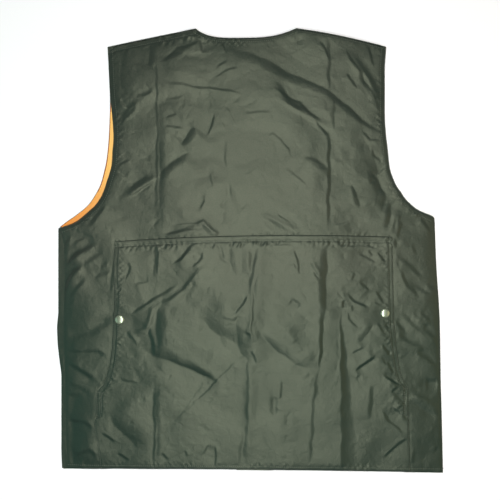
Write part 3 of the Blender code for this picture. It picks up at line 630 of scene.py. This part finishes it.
POUCH_SEAMS = (("step", POUCH_LEFT_UPPER, 7, 2.4, 0.65, 0.42, 5, 21),
               ("step", POUCH_RIGHT_UPPER, 7.6, 2.3, 0.8, 0.46, 5.4, 22),
               ("groove", POUCH_TOP_LINE, 8.8, 1.7, 1, 0.5, 4.6, 23),
               ("groove", POUCH_TOP_LINE, 14, 2, 0, 0.55, 11, 24),
               ("groove", POUCH_LEFT_UPPER, 12, 2, 0, 0.3, 9, 26),
               ("groove", POUCH_RIGHT_UPPER, 13, 2, 0, 0.34, 10, 27),
               *(("groove", box, 0, 1.2, 0.45, 0, 9, 25) for box in BOX_LINES), HEM_SEAM)


def inside_pouch(x, y):
    """How far inside the pouch's edges, negative outside."""
    return np.minimum(np.minimum(x - pouch_left(y), pouch_right(y) - x), pouch_line(x) - y)


def lying_height(x, y):
    """Height that the back's underside has over the fronts: loft, creases and swells."""
    from_left = np.maximum(x - back_edge_left(y), 0)
    from_right = np.maximum(outline_right(y) - x, 0)
    from_hem = np.maximum(y - hem_line(x), 0)
    from_top = np.maximum(top_edge(x) - y, 0)
    side = ease((60 - y) / 60)
    left_reach, right_reach = (armhole + (below - armhole) * side
                               for armhole, below in zip(ARMHOLE_REACH, SIDE_REACH))
    # Softer at the left shoulder and the right underarm, tighter beside the pouch
    left_reach = left_reach + 4 * ease((y - 190) / 60) - 11 * ease((y + 125) / 40) * side
    right_reach = (right_reach + 5 * ease((y + 150) / 40) * ease((70 - y) / 30)
                   - 1.6 * ease((-240 - y) / 60))
    rise = 1 - np.exp(-from_left / left_reach)
    rise *= 1 - np.exp(-from_right / right_reach)
    rise *= 1 - (1 - HEM_KEEP) * np.exp(-from_hem / HEM_REACH)
    top_reach = NECK_REACH + 13 * ease((-90 - x) / 60)
    top_keep = NECK_KEEP - 0.5 * ease((-90 - x) / 40)
    rise *= 1 - (1 - top_keep) * np.exp(-from_top / top_reach)
    calm = 1 - CALM_SHARE * ease((CALM_TOP - y) / 60) * ease((300 - np.abs(x)) / 40)
    broad = swell_relief(x, y) + calm * facet_relief(x, y)
    for seed, table in enumerate(SOFT_TABLES, 1):
        broad += swell_creases(x, y, table, seed)
    pulled = crinkle_relief(x, y)
    warp_x = 0.8 * np.sin(y / 11.0 + 0.5 * np.sin(x / 17.0)) + 0.7 * np.sin(y / 5.3 + x / 29.0)
    warp_y = 0.8 * np.sin(x / 12.0 + 2.1) + 0.7 * np.sin(x / 6.1 + y / 31.0 + 1.0)
    pulled += band_relief(x + warp_x, y + warp_y)
    edge = np.minimum(np.minimum(from_left, from_right), np.minimum(from_hem, from_top))
    lying = rise * (LOFT + broad) + pulled * (0.35 + 0.65 * ease(edge / 14))
    lying = np.where(lying < LEAST_LOFT,
                     LEAST_LOFT * np.exp(np.minimum(lying / LEAST_LOFT - 1, 0)), lying)
    crown = PLACKET_CROWN * ease((PLACKET_FADE - np.abs(x)) / (PLACKET_FADE - PLACKET_FLAT))
    crown *= ease((PLACKET_TOP_FADE - y) / (PLACKET_TOP_FADE - PLACKET_TOP))
    height = np.maximum(lying, crown)
    for snap_x, snap_y in POUCH_SNAPS.values():
        away = np.hypot(x - snap_x, y - snap_y)
        flat = np.exp(-(np.maximum(away - SNAP_SEAT_INNER, 0) / SNAP_SEAT_FADE)**2)
        height += flat * (SNAP_LOFT - height)
    return height


def round_edge(from_edge, reach=EDGE_ROUND):
    """How far a turned edge drops at each distance from it."""
    share = 1 - np.clip(from_edge / reach, 0.0, 1.0)
    return EDGE_ROUND * (1 - np.sqrt(np.maximum(1 - share**2, 0.0)))


def back_top(x, y):
    """Height of the back's upper side, which sinks a little under the pouch."""
    z = BACK_SEAT + BACK_WALL + lying_height(x, y)
    for row in BACK_SEAMS:
        z += seam(x, y, *row)
    z -= round_edge(np.minimum.reduce([distance_to(line, x, y, 8) for line in OUTLINE]))
    return z - UNDER_POUCH_DROP * ease((inside_pouch(x, y) - 4) / 14)


def pouch_top(x, y):
    """Height of the pouch's upper side, with its turned band and edges."""
    z = BACK_SEAT + BACK_WALL + GAP + POUCH_WALL + lying_height(x, y)
    for row in POUCH_SEAMS:
        z += seam(x, y, *row)
    edge = np.minimum.reduce([distance_to(line, x, y, 14) for line in
                              (POUCH_LEFT_LINE, POUCH_RIGHT_LINE, POUCH_TOP_LINE)])
    hem = np.maximum(distance_to(HEM_LINE, x, y, 14) - POUCH_INSET, 0)
    return z - round_edge(np.minimum(edge, POUCH_HEM_SHARE * hem), POUCH_ROUND)


def spread(count, width):
    """Shares of the way across, with close steps at both ends."""
    steps = np.array(EDGE_STEPS) / width
    inner = np.linspace(steps[-1], 1 - steps[-1], count - 2 * (len(steps) - 1) + 1)
    return np.concatenate((steps[:-1], inner, 1 - steps[:-1][::-1]))


def level_rows(levels):
    """Rows of y at the left, middle and right, with close steps at both ends."""
    rows = [np.array(levels[0][:3], dtype=float)]
    for *end, count, power in levels[1:]:
        start, end = rows[-1], np.array(end, dtype=float)
        rows += [start + (end - start) * (step / count) ** power
                 for step in range(1, count + 1)]
    rows = np.array(rows)
    low = [rows[0] + step for step in EDGE_STEPS[:-1]]
    high = [rows[-1] - step for step in reversed(EDGE_STEPS[:-1])]
    rows[0] += EDGE_STEPS[-1]
    rows[-1] -= EDGE_STEPS[-1]
    return np.concatenate((low, rows, high))


def back_plan():
    """Plan of the back as arrays of x and y."""
    left_y, middle_y, right_y = level_rows(BACK_LEVELS).T[:, :, None]
    left_x, right_x = back_edge_left(left_y), outline_right(right_y)
    x = left_x + (right_x - left_x) * spread(BACK_COLUMNS, 560.0)
    y = across((left_y, middle_y, right_y), (left_x, right_x), x)
    share = ease((middle_y - TOP_BLEND_START) / (middle_y[-1] - TOP_BLEND_START))
    return x, y + share * (top_edge(x[-1]) - y[-1])


def pouch_plan():
    """Plan of the pouch as arrays of x and y."""
    shares = spread(POUCH_ROWS, 370.0)[:, None]
    middle = -355.0 + shares * (24.3 + 355.0)
    left_x, right_x = pouch_left(middle - 6), pouch_right(middle)
    x = left_x + (right_x - left_x) * spread(POUCH_COLUMNS, 460.0)
    low = hem_line(x) + POUCH_INSET
    return x, low + shares * (pouch_line(x) - low)


def settle(z, step, way):
    """Lowest of the heights about every step-th point, or highest where way is -1."""
    rows, columns = z.shape
    padded = np.pad(z * way, step, mode="edge")
    parts = [padded[row:row + rows:step, column:column + columns:step]
             for row in range(2 * step + 1) for column in range(2 * step + 1)]
    return np.minimum.reduce(parts) * way


def put(name, data):
    """Object of some data, in the scene."""
    made = bpy.data.objects.new(name, data)
    bpy.context.scene.collection.objects.link(made)
    return made


def piece_of(name, mesh):
    """Piece of the vest, which is one body."""
    piece = put(name, mesh)
    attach(piece, "root")
    return piece


def mesh_of(name, bm, material):
    """Smooth mesh of one that was edited, which is freed."""
    mesh = bpy.data.meshes.new(name)
    bm.to_mesh(mesh)
    bm.free()
    mesh.materials.append(material)
    mesh.shade_smooth()
    return mesh


def cloth_shell(name, outer, inner, materials):
    """Closed sheet between a fine grid of points, which shows, and a coarser one behind it."""
    bm = bmesh.new()
    bmesh.ops.create_grid(bm, x_segments=outer.shape[1] - 1, y_segments=outer.shape[0] - 1,
                          size=1.0, matrix=Matrix.Translation((0, 0, 1)))
    shown = set(bm.faces)
    rim = [edge for edge in bm.edges if edge.is_boundary]
    bmesh.ops.create_grid(bm, x_segments=inner.shape[1] - 1, y_segments=inner.shape[0] - 1,
                          size=1.0)
    behind = [face for face in bm.faces if face not in shown]
    rim += [edge for face in behind for edge in face.edges if edge.is_boundary]
    border = {vert for face in behind if any(edge.is_boundary for edge in face.edges)
              for vert in face.verts}
    for face in behind:
        if not border.intersection(face.verts):
            face.material_index = len(materials) - 1
    bmesh.ops.bridge_loops(bm, edges=list(set(rim)))
    for edge in rim:
        edge.smooth = False
    bmesh.ops.recalc_face_normals(bm, faces=bm.faces[:])
    mesh = mesh_of(name, bm, materials[0])
    for material in materials[1:]:
        mesh.materials.append(material)
    place = np.empty(len(mesh.vertices) * 3)
    mesh.vertices.foreach_get("co", place)
    place = place.reshape(-1, 3)
    points = np.empty_like(place)
    for upper, grid in ((True, outer), (False, inner)):
        mine = (place[:, 2] > 0.5) == upper
        count = np.array(grid.shape[:2]) - 1
        column = np.rint((place[mine, 0] + 1) / 2 * count[1]).astype(int)
        row = np.rint((place[mine, 1] + 1) / 2 * count[0]).astype(int)
        points[mine] = grid[row, column] * MM
    mesh.vertices.foreach_set("co", points.ravel())
    mesh.update()
    return piece_of(name, mesh)


def laid_sheet(name, x, y, z, wall, way, step, materials, least=-FAR):
    """Sheet whose shown side has heights z, on its coarser lining side."""
    behind = np.maximum(settle(z, step, way) - way * wall, least)
    outer = np.stack((x, y, z), axis=2)
    inner = np.stack((x[::step, ::step], y[::step, ::step], behind), axis=2)
    return cloth_shell(name, outer, inner, materials)


class Value:
    """A socket of a material's nodes, whose sums and products are Math nodes."""

    def __init__(self, finish, socket):
        self.finish = finish
        self.socket = socket

    def math(self, operation, other=0.0):
        return self.finish.node("ShaderNodeMath", {0: self, 1: other}, operation=operation)

    def __add__(self, other):
        return self.math("ADD", other)

    def __sub__(self, other):
        return self.math("SUBTRACT", other)

    def __mul__(self, other):
        return self.math("MULTIPLY", other)

    def sine(self):
        return self.math("SINE")


class Finish:
    """A material, its shader and the one way that its other nodes are made."""

    def __init__(self, name, **constants):
        self.material = bpy.data.materials.new(name)
        self.material.use_nodes = True
        self.tree = self.material.node_tree
        self.shader = self.tree.nodes["Principled BSDF"]
        for socket, value in constants.items():
            self.shader.inputs[socket.replace("_", " ")].default_value = value
        self.place = self.node("ShaderNodeTexCoord", output=3)

    def node(self, kind, sockets=None, output=0, **settings):
        """Output of a new node with its settings and sockets, each a number or a Value."""
        made = self.tree.nodes.new(kind)
        for setting, value in settings.items():
            setattr(made, setting, value)
        for socket, value in (sockets or {}).items():
            if isinstance(value, Value):
                self.tree.links.new(value.socket, made.inputs[socket])
            else:
                made.inputs[socket].default_value = value
        return Value(self, made.outputs[output])

    def noise(self, scale, detail=2.0, roughness=0.5, distortion=0.0):
        return self.node("ShaderNodeTexNoise", {"Vector": self.place, "Scale": scale,
                                                "Detail": detail, "Roughness": roughness,
                                                "Distortion": distortion})

    def mix(self, factor, first, second):
        """Colour between two, each three numbers or a Value."""
        first, second = (colour if isinstance(colour, Value) else (*colour, 1.0)
                         for colour in (first, second))
        return self.node("ShaderNodeMix", {0: factor, 6: first, 7: second}, output=2,
                         data_type="RGBA")

    def set(self, socket, value):
        self.tree.links.new(value.socket, self.shader.inputs[socket])


def nylon(name, deep, bright, tint, roughness, level, painted_shade_slope=0.0, painted_low_shade=None):
    """Nylon taffeta: mottled colour, fine weave and small crinkles over a soft gloss, optionally
    darkened along Y as painted shade.
    """
    finish = Finish(name, IOR=1.5, Specular_IOR_Level=level, Specular_Tint=(*tint, 1.0))
    mottle = finish.noise(9.0, 4.0, 0.55)
    grain = finish.noise(420.0, 3.0, 0.6)
    sideways = finish.node("ShaderNodeSeparateXYZ", {0: finish.place})
    along = finish.node("ShaderNodeSeparateXYZ", {0: finish.place}, output=1)
    blend = mottle * 0.8 + grain * 1.5 - 0.65
    # Painted shade: the mix leans to the deep colour at low Y, so the cloth turns darker and redder
    # towards the underarm end of the lining
    if painted_shade_slope:
        blend = blend * 0.4 + (along - 0.06) * painted_shade_slope + 0.1
    # Painted shade: from about 7 mm below Y = 0 down to 150 mm below it, the bright tone fades to a
    # darker, more teal colour
    if painted_low_shade:
        bright = finish.mix(along * -7.0 - 0.05, bright, painted_low_shade)
    finish.set("Base Color", finish.mix(blend, deep, bright))
    finish.set("Roughness", mottle * 0.1 + grain * 0.06 + (roughness - 0.08))
    weave = (sideways * WARP_THREADS).sine() * (along * WEFT_THREADS).sine()
    creased = finish.node("ShaderNodeBump", {"Strength": 0.5, "Distance": 0.0011,
                                             "Height": finish.noise(95.0, 5.0, 0.62, 0.6)})
    woven = finish.node("ShaderNodeBump", {"Strength": 0.25, "Distance": 0.00006,
                                           "Height": weave, "Normal": creased})
    finish.set("Normal", woven)
    return finish.material


# Olive, its bright tone darkened towards the hem as painted shade
olive = nylon("olive_taffeta", (0.009, 0.022, 0.017), (0.032, 0.037, 0.031),
              (0.95, 1.0, 0.71), 0.41, 0.5, painted_low_shade=(0.006, 0.020, 0.017))
# Orange, darker and redder towards the underarm as painted shade
orange = nylon("orange_taffeta", (0.80, 0.24, 0.03), (0.97, 0.55, 0.14),
               (1.0, 0.95, 0.85), 0.5, 0.35, 9.0)
# Dark orange that paints shade along the lining's rounded outer edge
orange_painted_edge_shade = nylon("orange_painted_edge_shade", (0.36, 0.08, 0.02), (0.46, 0.13, 0.03),
                    (1.0, 0.9, 0.8), 0.5, 0.3)
thread = Finish("olive_thread", Roughness=0.55, Specular_IOR_Level=0.4)
thread.set("Base Color", thread.mix(thread.noise(900.0), (0.07, 0.082, 0.06),
                                    (0.15, 0.17, 0.125)))
nickel = Finish("pearl_nickel", Metallic=0.75, Coat_Roughness=0.2)
haze = nickel.noise(600.0, 3.0)
nickel.set("Base Color", nickel.mix(haze, (0.24, 0.29, 0.2), (0.38, 0.43, 0.31)))
nickel.set("Roughness", haze * 0.1 + 0.22)

# Back panel and rear pouch
back_x, back_y = back_plan()
back = laid_sheet("back_panel", back_x, back_y, back_top(back_x, back_y), BACK_WALL - 0.4, 1,
                  BEHIND_STEP, (olive, orange), BACK_SEAT)
pouch_x, pouch_y = pouch_plan()
pouch = laid_sheet("rear_pouch", pouch_x, pouch_y, pouch_top(pouch_x, pouch_y),
                   POUCH_WALL - 0.2, 1, BEHIND_STEP, (olive,))

# Rolled side, where the left front turns over the fold to its seam on the back
turn_y = np.linspace(-352.6, 35.4, 195)[:, None]
fold_x = smooth_through(SIDE_LEFT, turn_y)
seam_x = back_edge_left(turn_y) + 0.2
seam_z = back_top(seam_x + 0.6, turn_y) - 0.12
roll = np.radians(np.linspace(-78, 90, 9))
flat_share = np.linspace(0.0, 1.0, 8)[1:]


def rolled(thinner):
    """Points of the roll, then of the part that climbs to the seam, one wall thinner inside."""
    radius = ROLL_RADIUS - thinner
    curl_x = fold_x + ROLL_RADIUS - radius * np.cos(roll)
    curl_z = ROLL_RADIUS + radius * np.sin(roll) + np.zeros_like(curl_x)
    flat_x = fold_x + ROLL_RADIUS + (seam_x - fold_x - ROLL_RADIUS) * flat_share
    x = np.concatenate((curl_x, flat_x), axis=1)
    y = np.broadcast_to(turn_y, x.shape)
    low, high = 2 * ROLL_RADIUS - thinner, seam_z - thinner
    z = np.concatenate((curl_z, low + (high - low) * flat_share**0.8), axis=1)
    lift = ease(np.concatenate((curl_z / ROLL_RADIUS - 1, np.ones_like(flat_x)), axis=1))
    wave = np.sin(y / 17.0 + 0.4) + 0.6 * np.sin(y / 7.3 + 0.8) + 0.4 * np.sin(y / 41.0)
    share = np.clip((x - fold_x) / (seam_x - fold_x), 0, 1)
    return np.stack((x, y, z + lift * 0.12 * wave * 4 * share * (1 - share)), axis=2)


side_turn = cloth_shell("side_turn", rolled(0.0), rolled(TURN_WALL), (olive,))

# Orange lining of the left front, which shows beyond the back's armhole edge
lining_y = np.linspace(38.2, 240.0, 132)[:, None]
lining_out = smooth_through(ARMHOLE_FRONT, lining_y)
lining_in = back_edge_left(lining_y) + LINING_UNDER
lining_x = lining_out + (lining_in - lining_out) * spread(16, 26.0)
lining_y = np.broadcast_to(lining_y, lining_x.shape)
from_back = back_edge_left(lining_y) - lining_x
lining_z = BACK_SEAT + 0.1 + 0.75 * ease(from_back / 3.0) - 0.25 * ease(-from_back / 2.0)
lining_z += seam(lining_x, lining_y, "groove", ARMHOLE_FRONT_LINE, 3.2, 0.9, 0.25, 0.09, 8.0,
                 33) * ease(from_back / 2.0)
lining_z -= 0.8 * round_edge(distance_to(ARMHOLE_FRONT_LINE, lining_x, lining_y, 8))
lining = laid_sheet("armhole_lining", lining_x, lining_y, lining_z, LINING_WALL, 1,
                    1, (orange, orange_painted_edge_shade), FRONT_WALL + 0.05)
# Faces within that width of the outer edge take the dark orange: painted shade where the edge rounds
# over
for face in lining.data.polygons:
    from_edge = face.center.x / MM - smooth_through(ARMHOLE_FRONT, face.center.y / MM)
    face.material_index = int(from_edge < LINING_EDGE_SHADE_WIDTH)


def build_front(name, levels, outer_edge, way, lift, seed):
    """One front with its creases, closing strip and rows of stitches, its outside down."""
    # The plan: rows from the outer edge to the closing edge and the V of the neck
    rows = level_rows([(outer, inner, inner, count, power)
                       for outer, inner, count, power in levels])
    outer_y, inner_y = rows[:, 0], rows[:, 1]
    outer_x, neck_x = outer_edge(outer_y), NECK_POINT_RIGHT[0]
    if way < 0:
        outer_x = outer_x + ROLL_INSET * ease((45.0 - outer_y) / 12.0)
        neck_x = -NECK_POINT_LEFT[0]
    table = ((levels[0][1], -PLACKET_HALF), (V_NECK_START, -PLACKET_HALF),
             (V_NECK_START + 22.0, 4.0 - PLACKET_HALF), (levels[-1][1], neck_x))
    inner_x = smooth_through(table, inner_y) * way
    shares = spread(FRONT_COLUMNS, 300.0)
    x = outer_x[:, None] + (inner_x - outer_x)[:, None] * shares
    y = outer_y[:, None] + (inner_y - outer_y)[:, None] * shares
    y += ease((outer_y - 240.0) / 90.0)[:, None] * (top_edge(x[-1]) - y[-1])
    # The strip that is lifted by the overlap, and the creases
    inside = (inner_x[:, None] - x) * -way
    raised = lift * ease((STRIP_WIDTH + RAMP_WIDTH - inside) / RAMP_WIDTH)
    raised *= ease((LIFT_END - y) / (LIFT_END - LIFT_TOP))
    pulled = swell_creases(x * way, y, SHARP_FRONT, seed)
    pulled += swell_creases(x * way, y, SOFT_FRONT, seed + 1)
    pulled += 0.5 * np.abs(crinkle_relief(x * way + seed, -y))
    pulled = FRONT_PULL * np.tanh(np.maximum(pulled, 0.0) / FRONT_PULL)
    # The rows of stitches
    rim, closing = pairs(x[:, 0], y[:, 0])[::4], pairs(inner_x, inner_y)[::4]
    foot, head = pairs(x[0], y[0])[::6], pairs(x[-1], y[-1])[::6]
    lines = ((rim, 8.0), (closing, -6.0), (foot, 6.5), (head, -6.0))
    edge = np.full(x.shape, FAR)
    sewn = np.zeros(x.shape)
    for number, (line, offset) in enumerate(lines):
        edge = np.minimum(edge, distance_to(line, x, y, 40))
        sewn -= seam(x, y, "groove", line, abs(offset), 1.7, 0.45, 0.2, 8.0, 61 + number)
    z = raised + pulled * ease((edge - 4) / 16) + np.maximum(sewn, 0.0)
    z += 0.55 * round_edge(edge)
    piece = laid_sheet(name, x, y, z, FRONT_WALL - 0.35, -1, 2, (olive,))
    return piece, (x, y, z, [(line, offset * way) for line, offset in lines])


front_left, shape_left = build_front("front_left_panel", FRONT_LEVELS_LEFT, outline_left, -1,
                                     FRONT_LIFT, 51)
front_right, shape_right = build_front("front_right_panel", FRONT_LEVELS_RIGHT, outline_right,
                                       1, OVERLAP_LIFT, 52)

# Nodes that the pieces of cloth stand for, and their looks
for piece, node, look in ((back, "back", "olive_nylon"), (pouch, "pouch", "olive_nylon"),
                          (side_turn, "front_left_turn", "olive_nylon"),
                          (lining, "lining_front_left", "orange_nylon"),
                          (front_left, "front_left", "olive_nylon"),
                          (front_right, "front_right", "olive_nylon")):
    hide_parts(node)


def build_snap(name, node, under):
    """Domed cap with a rolled rim, turned from its profile."""
    low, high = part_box(node)
    height = (low - high).z if under else (high - low).z
    bm = bmesh.new()
    points = [bm.verts.new((out * CAP_RADIUS * MM, 0.0, (up - 0.5) * height))
              for out, up in CAP_PROFILE]
    lines = [bm.edges.new(pair) for pair in zip(points, points[1:])]
    bmesh.ops.spin(bm, geom=points + lines, axis=(0, 0, 1), cent=(0, 0, 0), steps=56,
                   angle=math.tau, use_merge=True)
    bmesh.ops.remove_doubles(bm, verts=bm.verts[:], dist=0.000005)
    bmesh.ops.translate(bm, verts=bm.verts[:], vec=(low + high) / 2)
    bmesh.ops.recalc_face_normals(bm, faces=bm.faces[:])
    piece = piece_of(name, mesh_of(name, bm, nickel.material))
    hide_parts(node)


for side in POUCH_SNAPS:
    build_snap(f"pouch_snap_{side}", f"snap_pouch_{side}", False)
for number in range(1, FRONT_SNAP_COUNT + 1):
    build_snap(f"front_snap_{number}", f"snap_front_{number}", True)


def along_line(points, offset):
    """Places and directions at even steps beside a line, offset to its left."""
    xs, ys = np.array(points).T
    run = np.concatenate(([0.0], np.cumsum(np.hypot(np.diff(xs), np.diff(ys)))))
    at = np.arange(STITCH_PITCH / 2, run[-1], STITCH_PITCH)
    (x, y), ahead, behind = ((np.interp(place, run, xs), np.interp(place, run, ys))
                             for place in (at, at + 4, at - 4))
    turn = np.arctan2(ahead[1] - behind[1], ahead[0] - behind[0])
    return x - offset * np.sin(turn), y + offset * np.cos(turn), turn


def sewn_row(line, offset, height):
    """Row of stitches at an offset from a line, on a surface."""
    x, y, turn = along_line(line, offset)
    return x, y, height(x, y) + STITCH_RISE, turn


def front_rows(x, y, z, lines):
    """Rows of stitches on the outside of a front, set to its nearest points."""
    rows = []
    for line, offset in lines:
        row_x, row_y, turn = along_line(line, offset)
        nearest = [np.argmin((x - a)**2 + (y - b)**2) for a, b in zip(row_x, row_y)]
        keep = np.hypot(x.flat[nearest] - row_x, y.flat[nearest] - row_y) < ON_CLOTH
        height = z.flat[nearest] - STITCH_RISE
        rows.append([values[keep] for values in (row_x, row_y, height, turn)])
    return rows


def build_stitches(name, rows):
    """Thread of many rows: one small rounded stitch at each place."""
    whole = bmesh.new()
    shape = Matrix.Diagonal((STITCH_LENGTH / 2 * MM, STITCH_WIDTH / 2 * MM,
                             STITCH_HEIGHT / 2 * MM, 1.0))
    part = bpy.data.meshes.new("part")
    places = [place for row in rows for place in zip(*row)]
    for first in range(0, len(places), STITCH_BATCH):
        bm = bmesh.new()
        for place in places[first:first + STITCH_BATCH]:
            spot = Matrix.Translation(Vector(place[:3]) * MM)
            bmesh.ops.create_uvsphere(bm, u_segments=6, v_segments=4, radius=1.0,
                                      matrix=spot @ Matrix.Rotation(place[3], 4, "Z") @ shape)
        bm.to_mesh(part)
        bm.free()
        whole.from_mesh(part)
    bpy.data.meshes.remove(part)
    piece = piece_of(name, mesh_of(name, whole, thread.material))
    return piece


# Rows of stitches on the back and the pouch, which share the hem's row
back_rows = [sewn_row(line, offset, back_top) for line, offset in
             ((ARMHOLE_LEFT_LINE, -8.0), (ARMHOLE_RIGHT_LINE, 8.0), (NECK_LINE, -7.0),
              (SHOULDER_LEFT_LINE, -9.0), (SHOULDER_RIGHT_LINE, -5.0), (HEM_LINE, 6.5))]
pouch_rows = [sewn_row(line, offset, pouch_top) for line, offset in
              ((POUCH_LEFT_LINE, -1.6), (POUCH_LEFT_UPPER, -8.2), (POUCH_RIGHT_LINE, 1.6),
               (POUCH_RIGHT_UPPER, 8.2), (POUCH_TOP_LINE, -1.5), (POUCH_TOP_LINE, -8.8),
               *((box, 0.0) for box in BOX_LINES), (HEM_LINE, 6.5))]
hem_inside = inside_pouch(*back_rows[-1][:2])
back_rows[-1] = [values[hem_inside < -1.5] for values in back_rows[-1]]
pouch_rows[-1] = [values[hem_inside > 1.0] for values in pouch_rows[-1]]
back_stitches = build_stitches("back_stitches", back_rows)
pouch_stitches = build_stitches("pouch_stitches", pouch_rows)
front_left_stitches = build_stitches("front_left_stitches", front_rows(*shape_left))
front_right_stitches = build_stitches("front_right_stitches", front_rows(*shape_right))

# Camera, lights, surroundings and floor
SENSOR = 36.0
PHOTO_WIDTH = 0.81
CAMERA_DISTANCE = 1.4
AIM_HEIGHT = 0.003
camera_data = bpy.data.cameras.new("camera")
camera_data.lens = SENSOR / PHOTO_WIDTH * CAMERA_DISTANCE
camera_data.sensor_width = SENSOR
camera = put("camera", camera_data)
camera.location = (0.0, 0.0008, CAMERA_DISTANCE + AIM_HEIGHT)
bpy.context.scene.camera = camera

key_data = bpy.data.lights.new("key", "AREA")
key_data.shape = "RECTANGLE"
key_data.size = 0.16
key_data.size_y = 1.45
key_data.energy = 16.2
key = put("key", key_data)
key.location = (0.012, -0.13, 1.28)

for name, place, colour, energy in (("warm", (1.05, -0.2, 0.85), (1.0, 0.78, 0.46), 2.7),
                                    ("cool", (-1.05, -0.3, 0.85), (0.5, 0.97, 0.92), 1.7)):
    side_data = bpy.data.lights.new(name, "AREA")
    side_data.size = 0.9
    side_data.color = colour
    side_data.energy = energy
    side_light = put(name, side_data)
    side_light.location = place
    side_light.rotation_euler = Vector(place).to_track_quat("Z", "Y").to_euler()

world = bpy.data.worlds.new("world")
world.use_nodes = True
background = world.node_tree.nodes["Background"]
background.inputs["Color"].default_value = (0.95, 1.0, 1.0, 1.0)
background.inputs["Strength"].default_value = 0.22
bpy.context.scene.world = world
bpy.context.scene.view_settings.view_transform = "Standard"

bm = bmesh.new()
bmesh.ops.create_grid(bm, x_segments=1, y_segments=1, size=3.0)
bmesh.ops.translate(bm, vec=(0, 0, -0.0002), verts=bm.verts[:])
paper = Finish("pale_floor", Base_Color=(0.92, 0.92, 0.92, 1.0), Roughness=0.9,
               Specular_IOR_Level=0.1, Emission_Color=(1.0, 1.0, 1.0, 1.0),
               Emission_Strength=0.16)
floor = put("floor", mesh_of("floor", bm, paper.material))
